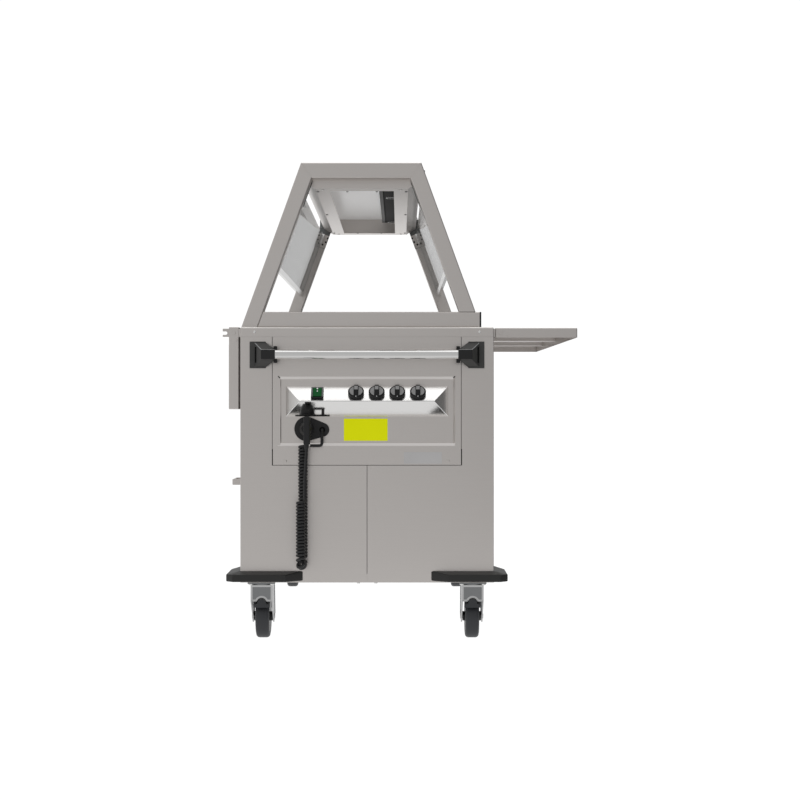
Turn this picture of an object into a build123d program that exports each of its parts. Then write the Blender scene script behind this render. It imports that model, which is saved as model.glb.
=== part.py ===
from build123d import *
import math
import os

os.makedirs("parts", exist_ok=True)

# X runs across the trolley, Y along it and away from the control end, Z up.
# The origin lies on the floor, midway between the trolley's outermost points in X and Y.

# Whole body
body_length = 1570
body_width = 725.5
worktop_height = 900
body_bottom = 168.5
sheet = 1.5
edge_bend = 5
corner_bend = 2.5
skirt_height = 28
seam_gap = 1.5
fit_gap = 0.3
running_gap = 0.05
overrun = 10
flange = 15

# Tray slides
tray_width = 237.5
tray_length = 1500
tray_thickness = 28
tray_step = 1
tray_pivot_inset = 17
tray_pivot_depth = 14.3
tray_pivot_reach = 22.5
tray_corner = 3
tray_brace_width = 60
tray_brace_height = 12
pivot_pin_radius = 4
pivot_head_radius = 6
pivot_head = 2
lock_pin_out = 20
lock_pin_drop = 7
lock_pin_radius = 3
lock_pin_length = 5
hook_reach = 54.3
hook_thickness = 4
hook_height = 24
hook_notch_radius = 4.8
hook_notch_inset = 8.5
hook_flange = 18
hook_setback = 1
hook_slot_side = 1.2
hook_foot_notch = 3

body_centre_x = (hook_reach - tray_pivot_reach - tray_width + tray_pivot_inset) / 2
body_left = body_centre_x - body_width / 2
body_right = body_centre_x + body_width / 2
near_y = -body_length / 2
far_y = body_length / 2

# Wells
well_count = 4
well_pitch = 340
well_length_x = 510
well_width_y = 306
well_corner = 20
well_depth = 200
well_rim = 12
drain_bore_radius = 9
heater_radius = 4
heater_span_x = 400
heater_span_y = 200
heater_bend = 30

# Control end
cover_left_inset = 92.2
cover_bottom = 505
recess_width = 504.4
recess_height = 196
recess_bottom_inset = 55.8
recess_depth = 6
console_length = 465
console_height = 86.8
console_ridge_length = 382.7
console_reach = 43.4
console_bottom = 643.8
console_rim = 14
knob_count = 4
knob_pitch = 58.8
knob_first = -31
knob_radius = 23
knob_skirt = 10.5
knob_body_radius = 19
knob_height = 19
knob_grip_width = 11
knob_grip_cut = 8
knob_clearance = 0.8
shaft_radius = 3
shaft_length = 12
thermostat_radius = 17
thermostat_depth = 26
collar_radius = 5
switch_offset = -141.5
bezel_width = 35.8
bezel_length = 44
bezel_height = 6
bezel_wall = 5
bezel_depth = 18
bezel_corner = 4
rocker_crown = 3.5
rocker_gap = 0.6
rocker_axle_radius = 2
rocker_axle_depth = 4
plate_lip = 3

# Cupboard and its doors
door_span = 660
door_bottom = 200
door_height = 450
door_gap = 2.5
door_thickness = 20
door_lip = 12
jamb_depth = 24
post_half_width = 62
hinge_reach = 5.5
hinge_barrel_radius = 4.5
hinge_pin_radius = 2.5
hinge_height = 60
hinge_leaf = 2
hinge_leaf_width = 18
hinge_inset = 60
handle_length = 110
handle_height = 17
handle_reach = 36
handle_thickness = 7
handle_foot = 12
handle_edge_inset = 70
handle_level = 450
deck_level = 655
pan_wall = 25
post_size = 30
post_wall = 2
post_inset = 22

# Push bars
bar_radius = 13
bar_wall = 1.5
bar_level = 820
bar_front_reach = 70
bracket_base_width = 46
bracket_base_height = 76
bracket_base_inset = 27
bracket_plate = 7
bracket_plate_step = 3
bracket_head_width = 40
bracket_head_height = 28
bracket_head_inset = 63.8
bracket_head_depth = 29

# Corner bumpers
bumper_reach = 39
bumper_length = 180
bumper_taper = 48
bumper_corner = 20
bumper_lift = 5
bumper_face = 25.6
bumper_height = 32.7
bumper_top_reach = 6

# Casters
wheel_radius = 62.5
wheel_width = 40
tyre_round = 7
tyre_depth = 18
hub_dish = 6
hub_radius = 14
hub_half = 27
axle_radius = 6
axle_head = 2
axle_head_radius = 8
caster_side_inset = 59.75
caster_end_inset = 49
caster_trail = 40
plate_width = 78
plate_length = 100
plate_thickness = 4
race_radius = 37
race_height = 4.5
fork_outer = 31.5
fork_sheet = 3.5
fork_front = 37
fork_back = 38
fork_toe_radius = 18
fork_wall_drop = 47
fork_wall_arch = 14
kingpin_radius = 7
kingpin_nut = 6
kingpin_nut_radius = 11
pedal_width = 46
pedal_dome_width = 26
pedal_brim = 10
pedal_height = 25
pedal_level = 95
pedal_front = 38
pedal_depth = 13
pedal_pivot_back = 16
pedal_pivot_level = 132
pedal_arm = 6
pedal_pin_radius = 3
pedal_eye = 7

# Sneeze guard
tube = 45
tube_wall = 2
tube_round = 4
guard_offset_x = -17.4
guard_top = 1375
guard_top_half = 173.5
guard_base_half = 346
guard_leg_width = 47.9
guard_end_inset = 30
plug_thickness = 5

# Canopy between the guard frames
canopy_bottom = 1305
canopy_bottom_half = 135
canopy_side_bottom = 1327
canopy_half = 170
canopy_top_step = 2
window_half = 93.5
window_end_inset = 60
reflector_level = 1362
batten_width = 65
batten_height = 22
batten_length = 1240
batten_offset_x = 79
batten_round = 10
lamp_gland_reach = 6
lamp_gland_length = 26
lamp_gland_height = 20
lamp_gland_level = 1338
lamp_gland_inset = 130

# Glass panes
glass_thickness = 8
glass_end_gap = 2
glass_drop = 238
glass_top_gap = 3
pane_axis_level = 1303
index_radius = 29
index_plate = 3
index_step = 25
index_notches = 4
index_notch_radius = 3
clamp_length = 26
clamp_height = 30
clamp_wall = 4
pane_pin_radius = 4
strip_height = 13
strip_wall = 2
block_height = 26
block_length = 22
block_gap = 1

# Plug holder, plug and curly cord
holder_radius = 35
holder_lobe_radius = 20
holder_lobe_offset = 45
holder_lobe_drop = 2.6
holder_thickness = 5
holder_x = -267.6
holder_level = 608.3
holder_bore = 8
socket_depth = 30
socket_radius = 19
plug_disc_radius = 21
plug_rib_width = 17
plug_rib_depth = 17
plug_rib_top = 36
plug_exit_drop = 56.3
plug_neck_taper = 6
plug_x = -265
plug_pin_radius = 2.4
plug_pin_spread = 9.5
plug_pin_length = 19
bail_radius = 4.2
bail_drop = 45
bail_bend = 8
cord_diameter = 8.5
coil_radius = 9.75
coil_pitch = 9.25
coil_front_x = -280.6
coil_rear_x = -277
coil_front_y = -849.5
coil_rear_y = -800.5
coil_front_turns = 17
coil_bend_turns = 5
coil_rear_turns = 34
coil_top_level = 404
gland_radius = 7
gland_reach = 2
gland_lift = 2
gland_nut_radius = 12
gland_nut = 5
gland_depth = 14

# Small fasteners and the drain
screw_radius = 4
screw_head = 2
screw_round = 1.2
bolt_radius = 5
bolt_head = 4
bolt_spacing = 25
bolt_setback = 12
caster_bolt_radius = 6
caster_bolt_head = 4
caster_bolt_inset = 8
canopy_middle_share = 0.33
top_screw_side = 322
top_screw_drop = 14
cover_screw_inset = 36.7
cover_screw_rise = 11.4
drain_radius = 11
drain_wall = 1.5
drain_level = 676
drain_side_inset = 75
drain_end_inset = 60
drain_fall = 70
cock_body = 34
cock_spout = 25
lever_length = 70
lever_width = 14
lever_thickness = 5
lever_hub_radius = 9
cock_stem_radius = 4
box_length_x = 150
box_width_y = 60
box_height = 70
box_offset_x = 215


def span_box(x_span, y_span, z_span, mode=Mode.ADD):
    centre = [sum(span) / 2 for span in (x_span, y_span, z_span)]
    sizes = [abs(span[1] - span[0]) for span in (x_span, y_span, z_span)]
    with Locations(tuple(centre)):
        Box(*sizes, mode=mode)


def xz_prism(outline, y_low, y_high, mode=Mode.ADD):
    # A prism whose outline is drawn in X and Z, lying between two places along Y
    with BuildSketch(Plane.XZ.offset(-y_high)) as profile:
        with BuildLine():
            Polyline(*outline, close=True)
        make_face()
    extrude(profile.sketch, amount=y_high - y_low, dir=(0, -1, 0), mode=mode)


def yz_prism(outline, x_low, x_high, mode=Mode.ADD):
    # A prism whose outline is drawn in Y and Z, lying between two places along X
    with BuildSketch(Plane.YZ.offset(x_low)) as profile:
        with BuildLine():
            Polyline(*outline, close=True)
        make_face()
    extrude(profile.sketch, amount=x_high - x_low, dir=(1, 0, 0), mode=mode)


def post(x, y, z_low, z_high, radius, mode=Mode.ADD):
    with Locations((x, y, (z_low + z_high) / 2)):
        Cylinder(radius, z_high - z_low, mode=mode)


def cross_pin(x_span, y, z, radius, mode=Mode.ADD):
    # A round pin lying along X
    with Locations(Location(((x_span[0] + x_span[1]) / 2, y, z), (0, 90, 0))):
        Cylinder(radius, abs(x_span[1] - x_span[0]), mode=mode)


def long_pin(x, y_span, z, radius, mode=Mode.ADD):
    # A round pin lying along Y
    with Locations(Location((x, (y_span[0] + y_span[1]) / 2, z), (90, 0, 0))):
        Cylinder(radius, abs(y_span[1] - y_span[0]), mode=mode)


def domed_head(plane, radius, height, rounding):
    # A screw or bolt head that stands on the plane
    with BuildPart(mode=Mode.PRIVATE) as head:
        with BuildSketch(plane):
            Circle(radius)
        extrude(amount=height)
        rims = head.edges().filter_by(GeomType.CIRCLE)
        fillet(rims.sort_by(lambda edge: plane.to_local_coords(edge.center()).Z)[-1], radius=rounding)
    return head.part


# Worktop: one sheet bent down all round, with a cut-out for each well
skirt_bottom = worktop_height - skirt_height
well_places = [(index - (well_count - 1) / 2) * well_pitch for index in range(well_count)]

with BuildPart() as worktop:
    with BuildSketch(Plane.XY.offset(skirt_bottom)):
        with Locations((body_centre_x, 0)):
            Rectangle(body_width, body_length)
    extrude(amount=skirt_height)
    fillet(worktop.edges().filter_by(Axis.Z), radius=corner_bend)
    fillet(worktop.edges().group_by(Axis.Z)[-1], radius=edge_bend)
    span_box(
        (body_left + sheet, body_right - sheet),
        (near_y + sheet, far_y - sheet),
        (skirt_bottom - overrun, worktop_height - sheet),
        Mode.SUBTRACT,
    )
    with BuildSketch(Plane.XY.offset(worktop_height)):
        for place in well_places:
            with Locations((body_centre_x, place)):
                RectangleRounded(well_length_x, well_width_y, well_corner)
    extrude(amount=-sheet - overrun, mode=Mode.SUBTRACT)
worktop.part.label = "worktop"
export_step(worktop.part, "parts/worktop.step")

# Wells: deep pans whose rims lie under the worktop
well_top = worktop_height - sheet
well_bottom = well_top - well_depth
drain_x = body_centre_x + well_length_x / 2 - drain_side_inset
drain_end_y = far_y - drain_end_inset

with BuildPart() as wells:
    for place in well_places:
        with BuildSketch(Plane.XY.offset(well_top - sheet)):
            with Locations((body_centre_x, place)):
                RectangleRounded(
                    well_length_x + 2 * well_rim,
                    well_width_y + 2 * well_rim,
                    well_corner + well_rim,
                )
        extrude(amount=sheet)
        with BuildSketch(Plane.XY.offset(well_bottom - sheet)):
            with Locations((body_centre_x, place)):
                RectangleRounded(well_length_x + 2 * sheet, well_width_y + 2 * sheet, well_corner + sheet)
        extrude(amount=well_depth)
        with BuildSketch(Plane.XY.offset(well_bottom)):
            with Locations((body_centre_x, place)):
                RectangleRounded(well_length_x, well_width_y, well_corner)
        extrude(amount=well_depth + overrun, mode=Mode.SUBTRACT)
        post(
            drain_x,
            place,
            well_bottom - sheet - overrun,
            well_bottom + overrun,
            drain_bore_radius - drain_wall,
            Mode.SUBTRACT,
        )
wells.part.label = "wells"
export_step(wells.part, "parts/wells.step")

# Heaters: one bent tube under each well
heater_level = well_bottom - sheet - heater_radius - fit_gap

with BuildPart() as heaters:
    for place in well_places:
        half_x = heater_span_x / 2
        half_y = heater_span_y / 2
        with BuildLine() as heater_line:
            FilletPolyline(
                (body_centre_x - half_x, place - half_y, heater_level),
                (body_centre_x + half_x - 2 * heater_bend, place - half_y, heater_level),
                (body_centre_x + half_x - 2 * heater_bend, place + half_y, heater_level),
                (body_centre_x - half_x, place + half_y, heater_level),
                radius=heater_bend,
            )
        with BuildSketch(Plane(heater_line.line @ 0, z_dir=heater_line.line % 0)):
            Circle(heater_radius)
        sweep(path=heater_line.line)
heaters.part.label = "heaters"
export_step(heaters.part, "parts/heaters.step")

# Base pan that closes the body below and carries the casters
pan_left = body_left + sheet + fit_gap
pan_right = body_right - sheet - fit_gap
pan_near = near_y + sheet + fit_gap
pan_far = far_y - sheet - fit_gap

with BuildPart() as base_pan:
    span_box((pan_left, pan_right), (pan_near, pan_far), (body_bottom, body_bottom + pan_wall))
    span_box(
        (pan_left + sheet, pan_right - sheet),
        (pan_near + sheet, pan_far - sheet),
        (body_bottom + sheet, body_bottom + pan_wall + overrun),
        Mode.SUBTRACT,
    )
base_pan.part.label = "base_pan"
export_step(base_pan.part, "parts/base_pan.step")

# Side panels: their end edges meet the returns of the end sheets
panel_top = skirt_bottom - fit_gap
side_near = near_y + flange + fit_gap
side_far = far_y - flange - fit_gap

with BuildPart() as side_panel_right:
    span_box((body_right - sheet, body_right), (side_near, side_far), (body_bottom, panel_top))
    for edge_y in (side_near, side_far - sheet):
        span_box(
            (body_right - sheet - flange, body_right - sheet),
            (edge_y, edge_y + sheet),
            (body_bottom + pan_wall + fit_gap, deck_level - fit_gap),
        )
side_panel_right.part.label = "side_panel_right"
export_step(side_panel_right.part, "parts/side_panel_right.step")

door_top = door_bottom + door_height
with BuildPart() as side_frame_left:
    span_box((body_left, body_left + sheet), (side_near, side_far), (body_bottom, panel_top))
    for side in (-1, 1):
        hinge_edge = side * post_half_width
        free_edge = side * (post_half_width + door_span)
        low_y = min(hinge_edge, free_edge)
        high_y = max(hinge_edge, free_edge)
        span_box(
            (body_left + sheet, body_left + jamb_depth),
            (low_y - sheet, high_y + sheet),
            (door_bottom - sheet, door_top + sheet),
        )
    for side in (-1, 1):
        hinge_edge = side * post_half_width
        free_edge = side * (post_half_width + door_span)
        span_box(
            (body_left - overrun, body_left + jamb_depth + overrun),
            (min(hinge_edge, free_edge), max(hinge_edge, free_edge)),
            (door_bottom, door_top),
            Mode.SUBTRACT,
        )
side_frame_left.part.label = "side_frame_left"
export_step(side_frame_left.part, "parts/side_frame_left.step")

# Near end: two sheets that meet at a centre seam below the control cover
cover_left = body_left + cover_left_inset
cover_right = body_right - cover_left_inset - seam_gap

with BuildPart() as end_sheets_near:
    for side in (-1, 1):
        outer_x = body_centre_x + side * body_width / 2
        cover_x = cover_left - seam_gap if side < 0 else cover_right + seam_gap
        outline = [
            (outer_x, body_bottom),
            (body_centre_x + side * seam_gap / 2, body_bottom),
            (body_centre_x + side * seam_gap / 2, cover_bottom - seam_gap),
            (cover_x, cover_bottom - seam_gap),
            (cover_x, panel_top),
            (outer_x, panel_top),
        ]
        xz_prism(outline, near_y, near_y + sheet)
        span_box(
            (outer_x, outer_x - side * sheet),
            (near_y, near_y + flange),
            (body_bottom, panel_top),
        )
    corner_edges = end_sheets_near.edges().filter_by(Axis.Z).group_by(Axis.Y)[0]
    fillet([corner_edges.sort_by(Axis.X)[0], corner_edges.sort_by(Axis.X)[-1]], radius=sheet)
end_sheets_near.part.label = "end_sheets_near"
export_step(end_sheets_near.part, "parts/end_sheets_near.step")

with BuildPart() as end_panel_far:
    span_box((body_left, body_right), (far_y - sheet, far_y), (body_bottom, panel_top))
    for side in (-1, 1):
        outer_x = body_centre_x + side * body_width / 2
        span_box((outer_x, outer_x - side * sheet), (far_y - flange, far_y), (body_bottom, panel_top))
    corner_edges = end_panel_far.edges().filter_by(Axis.Z).group_by(Axis.Y)[-1]
    fillet([corner_edges.sort_by(Axis.X)[0], corner_edges.sort_by(Axis.X)[-1]], radius=sheet)
end_panel_far.part.label = "end_panel_far"
export_step(end_panel_far.part, "parts/end_panel_far.step")

# Inner frame: a square post in each corner between the base pan and the worktop
post_x = [body_left + post_inset, body_right - post_inset - post_size]
post_y = [near_y + post_inset, far_y - post_inset - post_size]

with BuildPart() as inner_frame:
    for low_x in post_x:
        for low_y in post_y:
            span_box(
                (low_x, low_x + post_size),
                (low_y, low_y + post_size),
                (body_bottom + sheet, worktop_height - sheet),
            )
            span_box(
                (low_x + post_wall, low_x + post_size - post_wall),
                (low_y + post_wall, low_y + post_size - post_wall),
                (body_bottom - overrun, worktop_height + overrun),
                Mode.SUBTRACT,
            )
inner_frame.part.label = "inner_frame"
export_step(inner_frame.part, "parts/inner_frame.step")

# Deck between the cupboard and the wells, notched for the posts
deck_near = near_y + flange + sheet
deck_far = far_y - sheet - fit_gap

with BuildPart() as cupboard_deck:
    span_box((pan_left, pan_right), (deck_near, deck_far), (deck_level, deck_level + sheet))
    for low_x in post_x:
        for low_y in post_y:
            span_box(
                (low_x - fit_gap, low_x + post_size + fit_gap),
                (low_y - fit_gap, low_y + post_size + fit_gap),
                (deck_level - overrun, deck_level + overrun),
                Mode.SUBTRACT,
            )
    post(
        drain_x,
        drain_end_y,
        deck_level - overrun,
        deck_level + overrun,
        drain_radius + fit_gap,
        Mode.SUBTRACT,
    )
cupboard_deck.part.label = "cupboard_deck"
export_step(cupboard_deck.part, "parts/cupboard_deck.step")

# Control cover: a sheet with a shallow recess whose walls slope
recess_bottom = cover_bottom + recess_bottom_inset
recess_centre_z = recess_bottom + recess_height / 2
floor_width = recess_width - 2 * recess_depth
floor_height = recess_height - 2 * recess_depth
recess_floor = near_y + recess_depth
console_middle = console_bottom + console_height / 2
gland_x = coil_rear_x + coil_radius
bend_radius = math.hypot(coil_front_x - coil_rear_x, coil_front_y - coil_rear_y) / 2
bend_level = coil_top_level - coil_front_turns * coil_pitch
gland_level = bend_level + coil_rear_turns * coil_pitch + gland_lift


def recess_block(behind, mode):
    # A block that narrows from the face of the cover to the floor of its recess
    with BuildSketch(Plane.XZ.offset(-near_y - behind)) as mouth:
        with Locations((body_centre_x, recess_centre_z)):
            Rectangle(recess_width, recess_height)
    with BuildSketch(Plane.XZ.offset(-recess_floor - behind)) as floor:
        with Locations((body_centre_x, recess_centre_z)):
            Rectangle(floor_width, floor_height)
    loft([mouth.sketch, floor.sketch], ruled=True, mode=mode)


with BuildPart() as control_cover:
    span_box((cover_left, cover_right), (near_y, near_y + sheet), (cover_bottom, skirt_bottom - fit_gap))
    recess_block(sheet, Mode.ADD)
    recess_block(0, Mode.SUBTRACT)
    with BuildSketch(Plane.XZ.offset(-recess_floor - sheet - overrun)):
        with Locations((body_centre_x, console_middle)):
            Rectangle(console_length - 2 * console_rim, console_height - 2 * console_rim)
        with Locations((holder_x, holder_level)):
            Circle(socket_radius + fit_gap)
        with Locations((gland_x, gland_level)):
            Circle(gland_radius + fit_gap)
    extrude(amount=sheet + 2 * overrun + recess_depth, mode=Mode.SUBTRACT)
control_cover.part.label = "control_cover"
export_step(control_cover.part, "parts/control_cover.step")

# Console: a hollow hip-roof shape that stands in the recess
half_rise = console_height / 2
hip_run = (console_length - console_ridge_length) / 2
face_slope = math.hypot(half_rise, console_reach)
hip_slope = math.hypot(hip_run, console_reach)


def hip_roof(half_height, reach, half_base, half_ridge):
    with BuildPart(mode=Mode.PRIVATE) as roof:
        with BuildSketch(Plane.YZ.offset(body_centre_x - half_base)):
            with BuildLine():
                Polyline(
                    (recess_floor, console_middle - half_height),
                    (recess_floor - reach, console_middle),
                    (recess_floor, console_middle + half_height),
                    close=True,
                )
            make_face()
        extrude(amount=2 * half_base)
        with BuildSketch(Plane.XY.offset(console_middle - half_height)):
            with BuildLine():
                Polyline(
                    (body_centre_x - half_base, recess_floor),
                    (body_centre_x + half_base, recess_floor),
                    (body_centre_x + half_ridge, recess_floor - reach),
                    (body_centre_x - half_ridge, recess_floor - reach),
                    close=True,
                )
            make_face()
        extrude(amount=2 * half_height, mode=Mode.INTERSECT)
    return roof.part


face_normal = Vector(0, -half_rise, console_reach).normalized()
knob_xs = [body_centre_x + knob_first + index * knob_pitch for index in range(knob_count)]
face_y = recess_floor - console_reach / 2
face_z = console_middle + half_rise / 2
switch_x = body_centre_x + switch_offset


def face_plane(x, lift=0):
    origin = Vector(x, face_y, face_z) + face_normal * lift
    return Plane(origin, x_dir=(1, 0, 0), z_dir=face_normal)


inner_half_rise = half_rise - sheet * face_slope / console_reach
inner_reach = inner_half_rise * console_reach / half_rise
inner_half_base = console_length / 2 - sheet * hip_slope / console_reach
inner_half_ridge = inner_half_base - hip_run * inner_reach / console_reach
console_shell = hip_roof(half_rise, console_reach, console_length / 2, console_ridge_length / 2)
console_hollow = hip_roof(inner_half_rise, inner_reach, inner_half_base, inner_half_ridge)

with BuildPart() as console:
    add(console_shell)
    add(console_hollow, mode=Mode.SUBTRACT)
    for knob_x in knob_xs:
        with BuildSketch(face_plane(knob_x, overrun)):
            Circle(collar_radius + fit_gap)
        extrude(amount=-2 * overrun, mode=Mode.SUBTRACT)
    with BuildSketch(face_plane(switch_x, overrun)):
        Rectangle(bezel_width - 2 * plate_lip + 2 * fit_gap, bezel_length - 2 * plate_lip + 2 * fit_gap)
    extrude(amount=-2 * overrun, mode=Mode.SUBTRACT)
console.part.label = "console"
export_step(console.part, "parts/console.step")

# Thermostats behind the console, each with a shaft for its knob
with BuildPart() as thermostats:
    for knob_x in knob_xs:
        with BuildSketch(face_plane(knob_x, -sheet - fit_gap)):
            Circle(thermostat_radius)
        extrude(amount=-thermostat_depth)
        with BuildSketch(face_plane(knob_x, -sheet - fit_gap)):
            Circle(collar_radius)
        extrude(amount=sheet + fit_gap)
        with BuildSketch(face_plane(knob_x)):
            Circle(shaft_radius)
        extrude(amount=shaft_length)
thermostats.part.label = "thermostats"
export_step(thermostats.part, "parts/thermostats.step")

# Knobs: a flat skirt, a round body and a grip bar
for index, knob_x in enumerate(knob_xs):
    with BuildPart() as knob:
        with BuildSketch(face_plane(knob_x, knob_clearance)):
            Circle(knob_radius)
        extrude(amount=knob_skirt)
        with BuildSketch(face_plane(knob_x, knob_clearance + knob_skirt)):
            Circle(knob_body_radius)
        extrude(amount=knob_height - knob_skirt)
        for side in (-1, 1):
            with BuildSketch(face_plane(knob_x, knob_clearance + knob_height)):
                with Locations((side * (knob_grip_width / 2 + knob_radius), 0)):
                    Rectangle(2 * knob_radius, 2 * knob_radius)
            extrude(amount=-knob_grip_cut, mode=Mode.SUBTRACT)
        with BuildSketch(face_plane(knob_x, knob_clearance)):
            Circle(shaft_radius + running_gap)
        extrude(amount=shaft_length, mode=Mode.SUBTRACT)
    knob.part.label = f"knob_{index + 1}"
    export_step(knob.part, f"parts/knob_{index + 1}.step")

# Rocker switch: a bezel let into the console and a rocker on its axle
rocker_width = bezel_width - 2 * bezel_wall
rocker_length = bezel_length - 2 * bezel_wall
bezel_body = bezel_width - 2 * plate_lip

with BuildPart() as switch_bezel:
    with BuildSketch(face_plane(switch_x)):
        RectangleRounded(bezel_width, bezel_length, bezel_corner)
    extrude(amount=bezel_height)
    with BuildSketch(face_plane(switch_x)):
        Rectangle(bezel_body, bezel_length - 2 * plate_lip)
    extrude(amount=-bezel_depth)
    with BuildSketch(face_plane(switch_x, bezel_height)):
        Rectangle(rocker_width, rocker_length)
    extrude(amount=-bezel_height - bezel_depth + sheet, mode=Mode.SUBTRACT)
    with BuildSketch(Plane.YZ.offset(switch_x - rocker_width / 2 - sheet)):
        axle_point = Vector(0, face_y, face_z)
        with Locations((axle_point.Y, axle_point.Z)):
            Circle(rocker_axle_radius + running_gap)
    extrude(amount=rocker_width + 2 * sheet, mode=Mode.SUBTRACT)
switch_bezel.part.label = "switch_bezel"
export_step(switch_bezel.part, "parts/switch_bezel.step")

with BuildPart() as switch_rocker:
    inner_width = rocker_width - 2 * rocker_gap
    rocker_half = rocker_length / 2 - 4 * rocker_gap
    rocker_side = Vector(switch_x - inner_width / 2, face_y, face_z)
    with BuildSketch(Plane(rocker_side, x_dir=face_plane(switch_x).y_dir, z_dir=(1, 0, 0))):
        with BuildLine():
            Polyline(
                (-rocker_half, bezel_height - rocker_crown / 2),
                (0, bezel_height - rocker_crown / 2),
                (rocker_half, bezel_height + rocker_crown),
                (rocker_half, 0),
                (0, -rocker_axle_depth),
                (-rocker_half, -rocker_axle_depth / 2),
                close=True,
            )
        make_face()
    extrude(amount=inner_width)
    with BuildSketch(Plane.YZ.offset(switch_x - rocker_width / 2 - sheet + running_gap)):
        with Locations((face_y, face_z)):
            Circle(rocker_axle_radius)
    extrude(amount=rocker_width + 2 * sheet - 2 * running_gap)
switch_rocker.part.label = "switch_rocker"
export_step(switch_rocker.part, "parts/switch_rocker.step")

# Push bars at both ends, held in pyramid brackets
head_left = body_left + bracket_head_inset
head_right = body_right - bracket_head_inset
bar_y = body_length / 2 + bar_front_reach - bracket_head_depth / 2

with BuildPart() as push_bars:
    for end in (-1, 1):
        bar_span = (head_left + bracket_head_width, head_right - bracket_head_width)
        cross_pin(bar_span, end * bar_y, bar_level, bar_radius)
        cross_pin(
            (bar_span[0] - overrun, bar_span[1] + overrun),
            end * bar_y,
            bar_level,
            bar_radius - bar_wall,
            Mode.SUBTRACT,
        )
push_bars.part.label = "push_bars"
export_step(push_bars.part, "parts/push_bars.step")

with BuildPart() as bar_brackets:
    for end in (-1, 1):
        for side in (-1, 1):
            face_at = end * body_length / 2
            edge_x = body_centre_x + side * body_width / 2
            base_x = edge_x - side * (bracket_base_inset + bracket_base_width / 2)
            head_x = edge_x - side * (bracket_head_inset + bracket_head_width / 2)
            span_box(
                (base_x - bracket_base_width / 2, base_x + bracket_base_width / 2),
                (face_at, face_at + end * bracket_plate),
                (bar_level - bracket_base_height / 2, bar_level + bracket_base_height / 2),
            )
            plate_face = Plane.XZ.offset(-face_at - end * bracket_plate)
            head_face = Plane.XZ.offset(-face_at - end * (bar_front_reach - bracket_head_depth))
            with BuildSketch(plate_face):
                with Locations((base_x, bar_level)):
                    Rectangle(
                        bracket_base_width - 2 * bracket_plate_step,
                        bracket_base_height - 2 * bracket_plate_step,
                    )
            with BuildSketch(head_face):
                with Locations((head_x, bar_level)):
                    Rectangle(bracket_head_width, bracket_head_height)
            loft(ruled=True)
            span_box(
                (head_x - bracket_head_width / 2, head_x + bracket_head_width / 2),
                (face_at + end * (bar_front_reach - bracket_head_depth), face_at + end * bar_front_reach),
                (bar_level - bracket_head_height / 2, bar_level + bracket_head_height / 2),
            )
bar_brackets.part.label = "bar_brackets"
export_step(bar_brackets.part, "parts/bar_brackets.step")


# Corner bumpers: each wraps one lower corner and tapers to both sides
def bumper_outline(end, side, reach, corner):
    corner_x = body_centre_x + side * body_width / 2
    corner_y = end * body_length / 2
    taper = bumper_taper * reach / bumper_reach
    steps = [
        (-bumper_length, 0),
        (taper - bumper_length, reach),
        (reach - corner, reach),
        (reach, reach - corner),
        (reach, taper - bumper_length),
        (0, -bumper_length),
        (0, 0),
    ]
    return [(corner_x + side * out_x, corner_y + end * out_y) for out_x, out_y in steps]


with BuildPart() as corner_bumpers:
    for end in (-1, 1):
        for side in (-1, 1):
            with BuildSketch(Plane.XY.offset(body_bottom + bumper_lift)):
                with BuildLine():
                    Polyline(*bumper_outline(end, side, bumper_reach, bumper_corner), close=True)
                make_face()
            extrude(amount=bumper_face - bumper_lift)
            with BuildSketch(Plane.XY.offset(body_bottom + bumper_face)):
                with BuildLine():
                    Polyline(*bumper_outline(end, side, bumper_reach, bumper_corner), close=True)
                make_face()
            with BuildSketch(Plane.XY.offset(body_bottom + bumper_height)):
                with BuildLine():
                    Polyline(*bumper_outline(end, side, bumper_top_reach, bumper_top_reach / 2), close=True)
                make_face()
            loft(ruled=True)
corner_bumpers.part.label = "corner_bumpers"
export_step(corner_bumpers.part, "parts/corner_bumpers.step")

# Casters: plates with kingpins, forks, wheels and the brake pedals of the near pair
caster_x = body_width / 2 - caster_side_inset
caster_y = body_length / 2 - caster_end_inset
caster_places = {
    "near_left": (body_centre_x - caster_x, -caster_y, 1),
    "near_right": (body_centre_x + caster_x, -caster_y, 1),
    "far_left": (body_centre_x - caster_x, caster_y, -1),
    "far_right": (body_centre_x + caster_x, caster_y, -1),
}
plate_bottom = body_bottom - plate_thickness
race_bottom = plate_bottom - race_height
fork_top = race_bottom - fit_gap
fork_inner = fork_outer - fork_sheet

with BuildPart() as caster_plates:
    for place_x, place_y, trail_sign in caster_places.values():
        span_box(
            (place_x - plate_width / 2, place_x + plate_width / 2),
            (place_y - plate_length / 2, place_y + plate_length / 2),
            (plate_bottom, body_bottom),
        )
        post(place_x, place_y, race_bottom, plate_bottom, race_radius)
        post(place_x, place_y, fork_top - fork_sheet - fit_gap, race_bottom, kingpin_radius)
        post(
            place_x,
            place_y,
            fork_top - fork_sheet - fit_gap - kingpin_nut,
            fork_top - fork_sheet - fit_gap,
            kingpin_nut_radius,
        )
caster_plates.part.label = "caster_plates"
export_step(caster_plates.part, "parts/caster_plates.step")

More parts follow.
